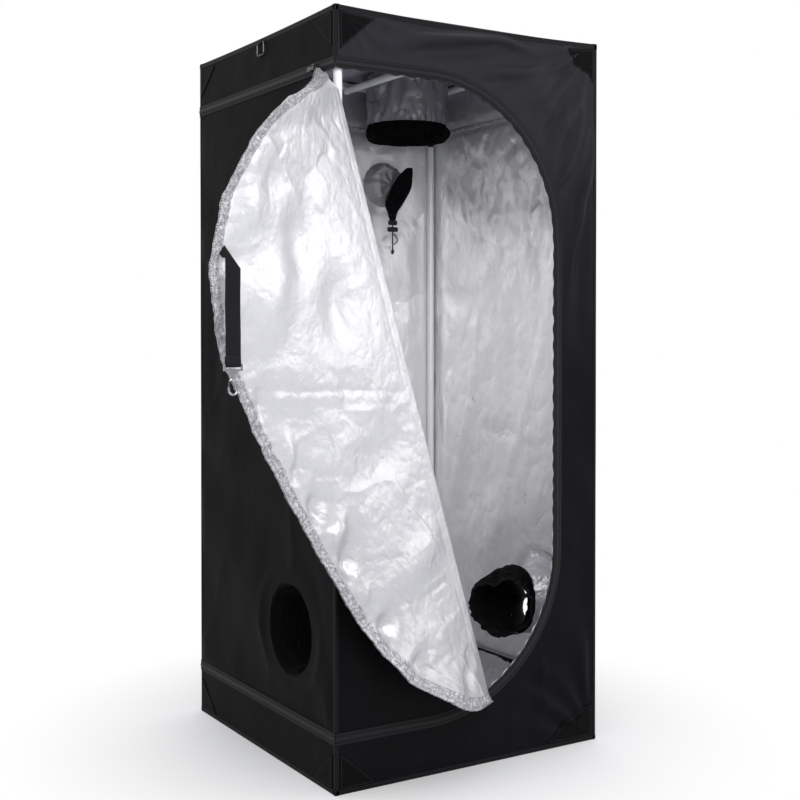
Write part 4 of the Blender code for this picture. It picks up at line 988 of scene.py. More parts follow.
def door_path(count=260):
    """Points and outward ways of the zip line on the front, from its top left round to its low left end."""
    arc = math.pi / 2 * ZIP_R
    lengths = [HALF + ARC_X, arc, ARC_HIGH - ARC_LOW, arc, HALF + ARC_X]
    total = sum(lengths)
    points, ways = [], []
    for at in np.linspace(0, total, count):
        k, left = 0, at
        while k < 4 and left > lengths[k]:
            left -= lengths[k]
            k += 1
        if k == 0:
            point, way = (-HALF + left, DOOR_TOP), (0, 1)
        elif k == 2:
            point, way = (ARC_X + ZIP_R, ARC_HIGH - left), (1, 0)
        elif k < 4:
            centre, start = (ARC_HIGH, math.pi / 2) if k == 1 else (ARC_LOW, 0.0)
            turn = start - left / ZIP_R
            way = (math.cos(turn), math.sin(turn))
            point = (ARC_X + ZIP_R * way[0], centre + ZIP_R * way[1])
        else:
            point, way = (ARC_X - left, DOOR_LOW), (0, -1)
        points.append((point[0], -HALF, point[1]))
        ways.append((way[0], 0, way[1]))
    return np.array(points), np.array(ways), total


def make_zips():
    points, ways, total = door_path()
    along = np.linspace(0, total, len(points))
    profile = np.repeat(np.array(ZIP_PROFILE)[None], len(points), 0)
    shut = along > total - (HALF + ARC_X) - math.radians(20) * ZIP_R
    wave = 0.0012 * np.sin(along * math.tau / 0.034 + 5 * cloud(along, 0, 0.2, 321))
    wave += 0.0014 * (cloud(along, 0, 0.02, 323) - 0.5)
    inner_edge = (0, len(ZIP_PROFILE) - 1)
    for k in inner_edge:
        profile[:, k, 0] += np.where(shut, 0, wave + 0.0006)
    mark(ribbon("zip_band_front", points, ways, NEAR, profile, ZIP), "zip_front")
    for level, height in (("top", DOOR_TOP), ("bottom", DOOR_LOW)):
        path = [(-HALF, y, height) for y in np.linspace(-HALF, HALF, 121)]
        mark(ribbon(f"zip_band_left_{level}", path, UP, LEFT, ZIP_PROFILE, ZIP),
             f"zip_left_{level}")


def raised_patch(name, outline, place, base):
    """A sewn reinforcing patch with a stitched edge, on a wall whose level is base(a, b)."""
    outline = np.array(outline, float)
    middle = outline.mean(0)
    t = np.linspace(0, 1, 14, endpoint=False)[:, None]
    edge = np.concatenate([a * (1 - t) + b * t for a, b in zip(outline, np.roll(outline, -1, 0))])

    def ring(share, level):
        a, b = (middle + (edge - middle) * share).T
        return place(a, b, base(a, b) + level)

    points = np.array([ring(share, level) for share, level in (
        (1.0, 0.0002), (1.0, 0.0010), (0.985, 0.0013), (0.90, 0.0013), (0.5, 0.0014), (0.05, 0.0014))])
    rows, cols = points.shape[:2]
    verts = points.reshape(-1, 3)
    normal = ring(0, 0.0014)[0] - ring(0, 0.0002)[0]
    sides = grid_quads(2, cols, wrap=True)
    faces = [list(q) for q in outward(verts, grid_quads(rows, cols, wrap=True)[cols:], normal)]
    faces += [list(q) for q in outward(verts, sides, verts[sides[:, 0]] - verts.mean(0))]
    faces += [list(range((rows - 1) * cols, rows * cols)), list(range(cols))]
    mark(finish_mesh(name, verts, faces, [CLOTH_OUT], "tent", 35))
    seam = ring(0.90, 0.0016)
    seam = np.concatenate([seam, seam[:1]])
    lengths = lengths_along(seam)
    count = int(lengths[-1] / 0.0036)
    stitches = [[np.array([np.interp((i + t) / count * lengths[-1], lengths, seam[:, k]) for k in range(3)])
                 for t in (0.0, 0.6)] for i in range(count)]
    mark(stitch_row(name + "_stitches", stitches, normal / np.linalg.norm(normal), 0.0005))


def stitch_row(name, stitches, out, width, body="tent"):
    """Many short threads as one piece."""
    verts, faces = [], []
    for start, end in stitches:
        run = (end - start) / np.linalg.norm(end - start)
        side = np.cross(run, out) * width
        b = len(verts)
        verts += [start - side, start + side, end + side, end - side,
                  (start + end) / 2 + side * 0.5 + np.asarray(out) * width * 0.8,
                  (start + end) / 2 - side * 0.5 + np.asarray(out) * width * 0.8]
        faces += [(b, b + 1, b + 4, b + 5), (b + 1, b + 2, b + 4), (b + 2, b + 3, b + 5, b + 4),
                  (b + 3, b, b + 5), (b + 3, b + 2, b + 1, b)]
    return finish_mesh(name, verts, faces, [THREAD], body, 60)


def make_patches():
    for name, outline in (
            ("top_left", [(-0.292, 1.390), (-0.218, 1.386), (-0.290, 1.322)]),
            ("top_right", [(0.291, 1.390), (0.226, 1.386), (0.244, 1.353), (0.283, 1.337), (0.291, 1.322)]),
            ("low_right", [(0.291, 0.010), (0.291, 0.075), (0.214, 0.048), (0.172, 0.012)]),
            ("low_left", [(-0.291, 0.010), (-0.218, 0.010), (-0.291, 0.074)])):
        raised_patch(f"patch_front_{name}", outline, front_place, front_relief)
    for wall, place in (("left", left_place), ("right", right_place), ("back", back_place)):
        for side, end in (("near", -1), ("far", 1)):
            for level, heights in (("top", (1.389, 1.385, 1.328)), ("low", (0.011, 0.011, 0.072))):
                outline = [(end * a, z) for a, z in zip((0.290, 0.222, 0.290), heights)]
                raised_patch(f"patch_{wall}_{level}_{side}", outline, place, lambda a, b: 0.0006)


def make_seams():
    """Folded seams with two rows of stitches across the lining of the back and right walls."""
    inset, half = 0.0145, 0.0045
    level = HALF - CLOTH - 0.0010
    span = np.linspace(-HALF + inset, HALF - inset, 90)
    heights = SEAM_Z + 0.0016 * (cloud(span, 0, 0.09, 331) - 0.5)
    profile = [(-half, 0.0002), (half, 0.0002), (half, 0.0012), (half * 0.5, 0.0020), (0, 0.0016),
               (-half * 0.5, 0.0020), (-half, 0.0012)]
    for name, path, out in (("seam_back", [(a, level, z) for a, z in zip(span, heights)], NEAR),
                            ("seam_right", [(level, a, z) for a, z in zip(span, heights)], LEFT)):
        mark(ribbon(name, path, UP, out, profile, SEAM_FILM))


# Spill tray

def round_square(half, corner, count):
    """Points and outward ways round a square with round corners, evenly spaced."""
    side, arc = 2 * (half - corner), math.pi / 2 * corner
    total = 4 * (side + arc)
    points, ways = [], []
    for at in np.linspace(0, total, count, endpoint=False):
        k, left = int(at // (side + arc)), at % (side + arc)
        turn = k * math.pi / 2
        if left < side:
            p, way = (-half + corner + left, -half), (0.0, -1.0)
        else:
            a = (left - side) / corner - math.pi / 2
            p = (half - corner + corner * math.cos(a), -half + corner + corner * math.sin(a))
            way = (math.cos(a), math.sin(a))
        c, s = round(math.cos(turn)), round(math.sin(turn))
        points.append((p[0] * c - p[1] * s, p[0] * s + p[1] * c))
        ways.append((way[0] * c - way[1] * s, way[0] * s + way[1] * c))
    return np.array(points), np.array(ways), total


def make_tray():
    """The spill tray: crumpled film with a bound rim."""
    half, low, high = 0.2755, 0.0025, 0.1120
    count = 440
    edge, ways, total = round_square(half, 0.010, count)
    u = np.linspace(0, total, count, endpoint=False)
    rows_out, rows_in = [], []
    for z in np.linspace(high, low + 0.004, 22):
        share = ramp(z, low, low + 0.03) * ramp(-z, -high, -high + 0.012)
        crumple = (0.0034 * facets(u, z * 1.3, 0.030, 401)
                   + 0.0028 * (crease(u, z, 0.035, 403, 2.5) - 0.3)
                   + 0.0010 * facets(u, z * 1.2, 0.012, 405))
        push = share * np.clip(0.0016 - crumple, -0.0002, 0.0055)
        flat = edge - ways * push[:, None]
        rows_out.append(np.insert(flat, 2, z, 1))
        rows_in.append(np.insert(flat - ways * 0.0014, 2, max(z, low + 0.0035), 1))
    for share in (0.995, 0.98, 0.95, 0.90, 0.82, 0.73, 0.64, 0.54, 0.44, 0.34, 0.24, 0.14, 0.05, 0.004):
        flat = edge * share
        level = 0.0012 * np.abs(facets(flat[:, 0], flat[:, 1], 0.06, 407)) * ramp(1 - share, 0, 0.1)
        rows_out.append(np.insert(flat, 2, low, 1))
        rows_in.append(np.insert(flat - ways * 0.0014 * share, 2, low + 0.0015 + level, 1))
    quads = grid_quads(len(rows_out), count, wrap=True)
    tray = mark(cloth("tray_film", quads, np.concatenate(rows_out), np.concatenate(rows_in), [FILM_SOFT],
                      "tray", 30), "spill_tray")
    edge, ways, total = round_square(half, 0.010, 320)
    wave = 0.0005 * (cloud(np.linspace(0, total, 320, endpoint=False), 0, 0.05, 411) - 0.5)
    path = np.insert(edge + ways * wave[:, None], 2, high - 0.0004 + wave, 1)
    profile = [(-0.0100, 0.0004), (-0.0100, 0.0010), (-0.0020, 0.0012), (-0.0002, 0.0006),
               (-0.0002, -0.0020), (-0.0020, -0.0026), (-0.0100, -0.0024), (-0.0100, -0.0018)]
    mark(ribbon("tray_rim", path, UP, np.insert(ways, 2, 0, 1), profile, BINDING, "tray", closed=True))


# Opened part of the door

FOLD_LENGTH = float(np.linalg.norm(FOLD_END - FOLD_TOP))
RUN = (FOLD_END - FOLD_TOP) / FOLD_LENGTH
WIDTH = np.array((-RUN[2], 0.0, RUN[0]))
FORWARD = np.array((0.0, -1.0, 0.0))
FOLD_R = 0.006
FOLD_Y = -0.3101
FOLD_START = FOLD_TOP - WIDTH * FOLD_R + np.array((0.0, FOLD_Y, 0.0))
ANGLES = ((-0.06, 38), (0.00, 37), (0.05, 30.5), (0.12, 25.5), (0.22, 22), (0.35, 18), (0.50, 15),
          (0.75, 15), (0.87, 25), (0.93, 38), (1.00, 41))


def fold_centre(s):
    """The middle of the fold's roll; above the fold's top it bends back along the left wall."""
    s = np.asarray(s, float)[..., None]
    straight = FOLD_START + RUN * s
    share = np.clip(-s / 0.060, 0, 1)
    knee = np.array((-0.3111, FOLD_Y, FOLD_START[2] + 0.004))
    tip = np.array((-0.3111, -HALF + 0.050, FOLD_START[2] + 0.047))
    bent = (1 - share) ** 2 * FOLD_START + 2 * share * (1 - share) * knee + share ** 2 * tip
    return np.where(s >= 0, straight, bent)


def fold_angle(s):
    """How far the open door stands off the front, along the fold."""
    share = np.asarray(s, float) / FOLD_LENGTH
    value = np.full(share.shape, ANGLES[-1][1], float)
    value = np.where(share <= ANGLES[0][0], ANGLES[0][1], value)
    for (a, low), (b, high) in zip(ANGLES, ANGLES[1:]):
        inside = (share > a) & (share <= b)
        value = np.where(inside, low + (high - low) * ramp(share, a, b), value)
    return np.radians(value)


def flap_reach(s):
    """How wide the flat door is, square to the fold, at places along it."""
    s = np.asarray(s, float)
    low, high = np.full(s.shape, -0.075), np.full(s.shape, 0.60)
    for _ in range(40):
        middle = (low + high) / 2
        p = FOLD_TOP + RUN * s[..., None] + WIDTH * middle[..., None]
        x, z = p[..., 0], p[..., 2]
        radius = ZIP_R + 0.006
        inside = (x < -HALF + 0.506) & (z < DOOR_TOP + 0.006)
        inside = np.where((x > ARC_X) & (z > ARC_HIGH), np.hypot(x - ARC_X, z - ARC_HIGH) < radius, inside)
        inside = np.where((x > ARC_X) & (z < ARC_LOW), np.hypot(x - ARC_X, z - ARC_LOW) < radius, inside)
        low, high = np.where(inside, middle, low), np.where(inside, high, middle)
    return low


CREASE = ((0.405, 0.440), (0.424, 0.398), (0.469, 0.274), (0.510, 0.132), (0.559, 0.000))
DIMPLES = (
    # along, out, size, depth, turn, stretch
    (0.477, 0.368, 0.022, -0.0080, 0.5, 2.2), (0.610, 0.335, 0.020, -0.0050, 0.9, 2.0),
    (0.674, 0.301, 0.026, -0.0085, 0.7, 2.0), (0.777, 0.252, 0.024, -0.0090, 0.6, 2.2),
    (0.850, 0.255, 0.018, 0.0050, 1.0, 2.0), (0.924, 0.225, 0.024, -0.0080, 0.9, 2.0),
    (0.560, 0.330, 0.020, 0.0055, 0.4, 2.2), (0.725, 0.270, 0.018, 0.0060, 0.8, 2.2),
    (1.000, 0.190, 0.018, -0.0050, 1.1, 2.2), (0.330, 0.398, 0.020, -0.0045, 1.4, 2.2),
    (0.223, 0.391, 0.018, -0.0035, 1.4, 2.4), (0.227, 0.207, 0.050, -0.0050, 0.3, 1.6),
    (0.145, 0.319, 0.040, 0.0040, 0.6, 1.8), (0.346, 0.147, 0.045, -0.0045, 0.2, 1.8),
    (0.300, 0.300, 0.050, 0.0040, 0.5, 1.6), (0.842, 0.090, 0.045, 0.0040, 1.3, 2.4),
    (0.640, 0.120, 0.055, -0.0035, 1.2, 2.0), (1.080, 0.080, 0.022, -0.0035, 1.2, 1.8),
)


def flap_relief(s, out, reach):
    """Dents and creases of the film door, over its smooth shape."""
    field = np.zeros(np.broadcast(s, out).shape)
    px, py = np.array(CREASE).T
    at = np.interp(out, py[::-1], px[::-1])
    off = s - at
    inside = ramp(out, 0.01, 0.05)
    field += inside * (-0.0016 * np.exp(-np.abs(off) / 0.0035)
                       + 0.0010 * np.exp(-((off - 0.012) / 0.010) ** 2))
    field += inside * 0.0026 * facets(s, out, 0.024, 517) * np.exp(-(off / 0.022) ** 2)
    inside_hem = 0.12 + 0.88 * (1 - ramp(out, reach - 0.042, reach - 0.014))
    for along, place, size, depth, turn, stretch in DIMPLES:
        field += inside_hem * 2.7 * depth * bump_at(s, out, (along, place), size * 0.80, turn, stretch)
    low = ramp(s, 0.40, 0.56)
    high = 1 - ramp(s, 0.10, 0.30)
    field += 0.0045 * (cloud(s, out, 0.12, 501) - 0.5)
    field += (0.0012 + 0.0014 * low + 0.0016 * high) * (crease(s, out * 0.8 + s * 0.3, 0.07, 503, 2.6) - 0.3)
    field += (0.0010 + 0.0022 * low + 0.0020 * high) * facets(s, out * 0.8 + s * 0.2, 0.050, 507)
    field += (0.0003 + 0.0008 * low + 0.0006 * high) * facets(s + out * 0.3, out, 0.019, 519)
    field += -0.0030 * np.exp(-((out - 0.0175) / 0.0028) ** 2)
    near_hem = ramp(out, reach - 0.070, reach - 0.006)
    gather = np.sin(s * math.tau / 0.052 + 5 * cloud(s, 0, 0.15, 509))
    field += 0.0010 * near_hem * gather
    field += 0.0007 * near_hem * np.sin(s * math.tau / 0.019 + 7 * cloud(s, 0, 0.05, 511))
    return field * ramp(out, 0.004, 0.045) * ramp(-s, -FOLD_LENGTH - 0.004, -FOLD_LENGTH + 0.03)


def flap_point(s, out):
    """Places on the open door, and the side that faces forward, for arrays of places."""
    s, out = np.asarray(s, float), np.asarray(out, float)
    reach = flap_reach(s)
    angle = fold_angle(s)[..., None]
    away = -WIDTH * np.cos(angle) + FORWARD * np.sin(angle)
    face = FORWARD * np.cos(angle) + WIDTH * np.sin(angle)
    relief = flap_relief(s, out, reach)
    shifted = np.where(s < 0, out - s * 0.054 / math.hypot(0.054, 0.152), out)
    share = np.clip(shifted / np.maximum(reach, 1e-5), 0, 1)
    swell = np.clip((s - 0.42 * FOLD_LENGTH) / 0.110, 0, 1)
    wave = 0.0018 * swell * share ** 2 * np.sin(math.tau * s / 0.110)
    lift = 0.008 * np.sin(math.pi * share) + wave + relief
    centre = fold_centre(s)
    return centre + face * (FOLD_R + lift)[..., None] + away * shifted[..., None], face


def make_flap():
    """The open door: a lap on the front, the roll of the fold, then the panel out to its free edge."""
    rows = np.linspace(-0.060, FOLD_LENGTH + 0.004, 330)
    reach = flap_reach(rows)
    centre = fold_centre(rows)
    angle = fold_angle(rows)
    inward, lap = -FORWARD, 0.008
    share = np.clip((rows - FOLD_LENGTH) / 0.022 + 2, 0, 1)
    wall = (-HALF - GAP - 0.001 - FOLD_Y) - share * 0.0025
    slope = unit(np.stack([np.full(len(rows), lap), FOLD_R - wall], -1))
    points = [centre - WIDTH * lap + inward * wall[:, None]]
    normals = [inward * slope[:, :1] - WIDTH * slope[:, 1:]]
    for i in range(9):
        turn = (math.pi / 2 + (angle - math.pi) * i / 8)[:, None]
        side = WIDTH * np.cos(turn) + inward * np.sin(turn)
        points.append(centre + side * FOLD_R)
        normals.append(side)
    cols = 110
    for i in range(1, cols + 1):
        place, face = flap_point(rows, reach * i / cols)
        points.append(place)
        normals.append(face)
    points, normals = np.stack(points, 1), np.stack(normals, 1)
    outer = (points + normals * 0.001).reshape(-1, 3)
    inner = (points - normals * 0.001).reshape(-1, 3)
    quads = grid_quads(*points.shape[:2])
    return mark(cloth("door_opened", quads, outer, inner, [FILM_FLAP, BLACK_SOFT, BINDING], None, 50),
                "door_flap")


def hem_edge():
    """The free edge of the door in flat places along and out, with its outward way and length."""
    rows = np.concatenate([np.linspace(-0.058, 0.02, 60)[:-1], np.linspace(0.02, 1.10, 420)[:-1],
                           np.linspace(1.10, FOLD_LENGTH + 0.003, 110)])
    edge = np.stack([rows, flap_reach(rows)], 1)
    length = lengths_along(edge)
    even = np.linspace(0, length[-1], 560)
    edge = np.stack([np.interp(even, length, edge[:, k]) for k in range(2)], 1)
    run = unit(np.gradient(edge, axis=0))
    return edge, np.stack([-run[:, 1], run[:, 0]], 1), even


def make_hem():
    """The door's stitched hem, gathered along the free edge."""
    edge, way, length = hem_edge()
    across = np.array([0.0, 0.0012, 0.003, 0.005, 0.007, 0.009, 0.011, 0.0125, 0.014, 0.0157, 0.0172, 0.0175])
    width, sewn = across[-1], (0.005, 0.0125)
    front, back = [], []
    for v in across:
        flat = edge - way * (v * (1 + 0.35 * ramp(edge[:, 0], 0.80, 1.02)))[:, None]
        place, face = flap_point(flat[:, 0], np.clip(flat[:, 1], 0.0, None))
        pucker = 0.0007 * np.sin(length * math.tau / 0.0145 + 6 * cloud(length, 0, 0.06, 521))
        pucker = pucker + 0.0030 * facets(length, v, 0.011, 523)
        middle = math.sin(math.pi * min(1, v / width))
        for rings, side, level in ((front, 1, pucker * middle), (back, -1, 0 * pucker)):
            rise = 0.0019 + 0.0008 * middle + level
            if v in sewn:
                rise = rise - 0.0005
            if v == width:
                rise = 0.0013 + 0 * rise
            rings.append(place + face * rise[:, None] * side)
    both = np.stack(front[::-1] + back, 1)
    rows, cols = both.shape[:2]
    kinds = np.tile(np.where(np.arange(cols) < len(across), 0, 1), rows - 1)
    uv_across = np.concatenate([across[::-1], -across]) - width / 2
    uv = np.stack([np.repeat(length, cols), np.tile(uv_across, rows)], 1)
    return mark(ring_stack("door_hem", both, [HEM_FILM, BLACK_SOFT], None, 60, uv, kinds))


def make_open_door():
    flap, hem = make_flap(), make_hem()
    for item in (flap, hem):
        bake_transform(item)


# Strap with its sewn loop

def make_strap():
    """The webbing strap, level with its sewn end at the top and looped round the eye's bar at the foot."""
    x0, y0, z0 = -0.59033, -0.47763, 0.94488
    low, bar_r, near_edge, far_edge = -0.1723, 0.0028, 0.0013, 0.0263
    path, left, right = [], [], []
    for z in np.concatenate([np.linspace(0.0098, -0.0022, 8), np.linspace(-0.0026, -0.0088, 5),
                             np.linspace(-0.0094, -0.025, 8), np.linspace(-0.028, low + 0.0150, 44)]):
        share = ramp(-z, 0.10, 0.158)
        path.append((z, -0.0010 * share))
        right.append(np.interp(z, (-0.025, 0.010), (far_edge, -0.0003)))
        left.append(np.interp(z, (-0.009, -0.00225, 0.010), (-0.00375, -0.00825, -0.0007))
                    if z > -0.009 else near_edge)
    for z, y in ((low + 0.010, -0.0013), (low + 0.006, -0.0018)):
        path.append((z, y))
    for turn in np.radians(np.linspace(150, 390, 15)):
        path.append((low + bar_r * math.sin(turn), bar_r * math.cos(turn)))
    for z, y in ((low + 0.006, 0.0018), (low + 0.010, 0.0013), (low + 0.0134, 0.0011)):
        path.append((z, y))
    left += [near_edge] * (len(path) - len(left))
    right += [far_edge] * (len(path) - len(right))
    path = np.array(path)
    sway = 0.0006 * np.sin(path[:, 0] * 60) * ramp(-path[:, 0], 0.0, 0.03) * ramp(path[:, 0], -0.15, -0.12)
    place = np.column_stack([np.full(len(path), x0), y0 + path[:, 1] + sway, z0 + path[:, 0]])
    run = unit(np.gradient(place, axis=0))
    profile = np.array([[(a, -0.0007), (a + 0.0007, -0.0010), (b - 0.0007, -0.0010), (b, -0.0007),
                         (b, 0.0007), (b - 0.0007, 0.0010), (a + 0.0007, 0.0010), (a, 0.0007)]
                        for a, b in zip(left, right)])
    middle = (near_edge + far_edge) / 2
    strap = mark(ribbon("door_strap_webbing", place, RIGHT, np.cross(run, RIGHT), profile, WEBBING, "strap",
                        sewn=profile[..., 0] - middle), "door_strap")
    lines = [[np.array((x0 + a + step, y0 - 0.0024, z0 + level)) for step in (0.0, 0.0022)]
             for level in (low + 0.0122, low + 0.0075) for a in np.arange(0.0030, 0.0240, 0.0034)]
    threads = mark(stitch_row("strap_stitches", lines, NEAR, 0.0004, "strap"))


# Duct sleeves

def sleeve_rings(wall, run, aside_way, drop_way, radius, sizes, shares):
    """Centre, two unit ways, radius and share of the length for each ring of a sleeve."""
    count = 64
    whole_reach, whole_aside, whole_drop = sizes
    table = [(0.0, 0.0, 0.0, 1 - 0.001 / radius)] + [tuple(row) for row in shares]
    rows = spline(table, count)
    wall, run = np.array(wall, float), np.array(run, float)
    centre = (wall + run * (whole_reach * rows[:, :1]) + np.array(aside_way) * (whole_aside * rows[:, 1:2])
              + np.array(drop_way) * (whole_drop * rows[:, 2:3]))
    share = ramp(rows[:, 0], 0.0, 0.25)[:, None]
    heading = unit(run * (1 - share) + unit(np.gradient(centre, axis=0)) * share)
    u = unit(np.cross(heading, UP if abs(run[2]) < 0.5 else RIGHT))
    return centre, u, np.cross(u, heading), rows[:, 3] * radius, rows[:, 0]


def dented(way, share, dents):
    """How far a ring of a sleeve is pushed in, for its outward ways."""
    deep = np.zeros(len(way))
    for toward, spread, at, length, depth in dents:
        facing = way @ (np.array(toward, float) / np.linalg.norm(toward))
        deep += (depth * np.exp(-(np.clip(1 - facing, 0, 2) / spread) ** 1.2)
                 * math.exp(-((share - at) / length) ** 2))
    return deep


def cloth_sleeve(name, node, wall, run, aside_way, drop_way, radius, sizes, shares, black_from, seed,
                 depth=0.0040, dents=(), sides=150, cells=(24, 45)):
    """A gathered duct sleeve: film outside at its root, black hem and inside."""
    centre, u, v, radii, place = sleeve_rings(wall, run, aside_way, drop_way, radius, sizes, shares)
    turn = full_turn(sides)
    ring = radius * turn
    wide = sizes[0] * place
    outer, inner = [], []
    run = np.array(run, float)
    for k, r in enumerate(radii):
        free = ramp(place[k], 0.0, 0.16)
        across = wide[k]
        soft = [cloud(ring - shift, across * 1.3, 0.040, seed) for shift in (0, math.tau * radius)]
        fold = (depth * 1.5 * (np.mean(soft, 0) - 0.5)
                + depth * 0.9 * facets(turn * cells[0] / math.tau, across * cells[1], 1.0, seed + 5)
                + depth * 0.35 * np.sin(turn * 13 + 4 * cloud(turn, across * 20, 0.8, seed + 7)))
        close = 1.0 - np.exp(-((place[k] - 1.0) / 0.05) ** 2) * 0.3
        pleat = depth * 0.30 * np.sin(turn * 26 + 3 * np.sin(turn * 3)) * ramp(place[k], 0.80, 0.92) * close
        size = r - 0.0004 + free * (np.minimum(fold, 0.0010) + pleat) - 0.0008 * free
        foot = centre[k] + run * 0.0014 if k == 0 else centre[k]
        way = round_ways(turn, u[k], v[k])
        size = size - dented(way, place[k], dents)
        outer.append(foot + way * size[:, None])
        inner.append(centre[k] + way * (size - LINING_DEPTH)[:, None])
    rim = round_ways(turn, u[0], v[0]) * (radius + 0.0095)
    outer.insert(0, centre[0] + run * 0.0012 + rim)
    inner.insert(0, centre[0] + run * 0.0001 + rim)
    rows = len(outer)
    quads = grid_quads(rows, sides, wrap=True)
    uv = np.stack([np.tile(ring, rows), np.repeat(np.concatenate([[-0.01], wide]), sides)], 1)
    # The roof sleeve takes the darker film copy, painted shade; the others take the crumpled film.
    film = FILM_SHADE if black_from > 1 else FILM_SOFT
    item = cloth(name, quads, np.concatenate(outer), np.concatenate(inner), [film, BLACK_SOFT, BINDING],
                 "tent", 60, uv)
    kinds = np.zeros(len(item.data.polygons), np.int32)
    item.data.polygons.foreach_get("material_index", kinds)
    level = np.concatenate([[0.0], place])[np.arange(len(quads)) // sides]
    kinds[:len(quads)] = np.maximum(kinds[:len(quads)], level > black_from)
    item.data.polygons.foreach_set("material_index", kinds)
    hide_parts(node)
    return item, centre, u, v, radii, place


def sleeve_channel(name, centre, u, v, radii, place, at, surface, seed, dents=()):
    """A raised stitched ring round a sleeve where its hem or its cord channel begins."""
    k = int(np.argmin(np.abs(place - at)))
    turn = full_turn(180)
    ripple = 0.0006 * np.sin(turn * 26) + 0.0005 * cloud(turn, 0, 0.3, seed)
    way = round_ways(turn, u[k], v[k])
    points = centre[k] + way * (radii[k] - 0.0012 + ripple - dented(way, place[k], dents))[:, None]
    return mark(tube(name, points, 0.0014, surface, closed=True))


RIGHT_DENTS = (
    # toward, spread, along, length, depth
    ((0, 1, -0.05), 0.62, 0.28, 0.20, 0.085), ((0, -1, 0.0), 0.50, 0.62, 0.20, 0.039),
    ((0, -1, 0.8), 0.14, 0.96, 0.22, 0.016), ((0, 0.4, 1), 0.10, 1.0, 0.25, 0.026),
    ((0, 0.9, -0.9), 0.10, 1.0, 0.3, 0.018), ((0, -0.8, -1), 0.10, 0.9, 0.3, 0.014),
)


def make_sleeves():
    wall = HALF - CLOTH - GAP
    left = cloth_sleeve("left_sleeve", "sleeve_left", (-wall, PORT_Y, PORT_Z), RIGHT, BACK, DOWN, PORT_R,
                        (0.125, 0.006, 0.034),
                        ((0.27, 0.00, 0.03, 0.95), (0.54, 0.35, 0.24, 0.90), (0.79, 0.75, 0.58, 0.85),
                         (1.00, 1.00, 1.00, 0.79)), 0.55, 601)
    right = cloth_sleeve("right_sleeve", "sleeve_right", (wall, PORT_Y, PORT_Z), LEFT, BACK, DOWN, PORT_R,
                         (0.148, -0.059, -0.003),
                         ((0.30, 0.05, 0.10, 0.96), (0.57, 0.24, 0.40, 0.90), (0.81, 0.56, 0.75, 0.83),
                          (1.00, 1.00, 1.00, 0.77)), 0.50, 621, 0.0050, RIGHT_DENTS)
    for side, made, length, dents in (("left", left, 0.128, ()), ("right", right, 0.160, RIGHT_DENTS)):
        item = mark(made[0])
        channel = sleeve_channel(f"{side}_sleeve_channel", *made[1:], 0.84, BLACK_SOFT, 631, dents)
        start = sleeve_channel(f"{side}_sleeve_seam", *made[1:], 0.53, BINDING, 633, dents)
    x, y, radius = ROOF_PORT
    top, drawn = TOP - CLOTH - GAP, 0.1077
    size = (radius - 0.001) / radius
    shares = ((0.33, 0, 0, size), (0.67, 0, 0, size * 0.985), (1.0, 0, 0, size * 0.955))
    roof = cloth_sleeve("roof_sleeve", "sleeve_roof", (x, y, top), DOWN, RIGHT, BACK, radius,
                        (drawn, 0, 0), shares, 2.0, 641, 0.0085, sides=180, cells=(11, 17))[0]
    mark(roof)
    welt = []
    for share in np.linspace(0.02, 0.99, 44):
        z = top - drawn * share
        angle = math.radians(-101) + 0.02 * math.sin(share * 9)
        reach = radius - 0.0020 + 0.0012 * math.sin(share * 31) - 0.004 * share
        welt.append((x + reach * math.cos(angle), y + reach * math.sin(angle), z))
    thick = 0.0020 + 0.0008 * np.abs(np.sin(np.linspace(0, 40, 44)))
    # The welt takes the darker film copy too, painted shade.
    welt = mark(tube("roof_sleeve_welt", welt, thick, FILM_SHADE))
    make_roof_hem(x, y, radius, top - drawn - GAP)


def make_roof_hem(x, y, radius, top):
    """The roof sleeve's black hem, gathered on its cord."""
    turn = full_turn(220)
    outer, inner = [], []
    for share in np.linspace(0, 1, 16):
        body = math.sin(math.pi * share)
        gather = 0.0011 * np.sin(turn * 34 + 3 * np.sin(turn * 5)) * (0.4 + body)
        size = (radius - 0.0024 - 0.0035 * (1 - body) + gather
                + 0.0014 * (cloud(turn, share, 0.35, 651) - 0.5))
        size = size + 0.0090 * body * np.exp(-((turn - 5.72) / 0.085) ** 2)
        z = np.maximum(top - 0.0328 * share + 0.0014 * share * np.sin(turn * 9) * 0.6, top - 0.0329)
        for rings, r in ((outer, size), (inner, size - 0.0016)):
            rings.append(np.column_stack([x + np.cos(turn) * r, y + np.sin(turn) * r, z]))
    quads = grid_quads(len(outer), len(turn), wrap=True)
    hem = mark(cloth("roof_sleeve_end", quads, np.concatenate(outer), np.concatenate(inner), [BLACK_SOFT],
                     "tent", 60), "sleeve_roof_hem")


def make_roof_knot():
    """The bunched knot of the roof sleeve's cord."""
    centre, size, around = np.array((0.1548, 0.0892, 1.2455)), np.array((0.0150, 0.0085, 0.0125)), 40
    turn = full_turn(around)
    rings = []
    for tilt in np.linspace(-math.pi / 2 + 0.05, math.pi / 2 - 0.05, 20):
        lump = 1 + 0.75 * facets(turn * 9 / math.tau, tilt * 2.2, 1.0, 681)
        lump = lump + 0.30 * np.exp(-((turn - 3.9) / 0.5) ** 2) * math.exp(-((tilt + 0.7) / 0.4) ** 2)
        way = np.column_stack([math.cos(tilt) * np.cos(turn), math.cos(tilt) * np.sin(turn),
                               np.full(around, math.sin(tilt))])
        rings.append(centre + way * size * lump[:, None])
    mark(ring_stack("roof_cord_knot", rings, [BLACK_SOFT], "tent", 35), "roof_cord_lock")


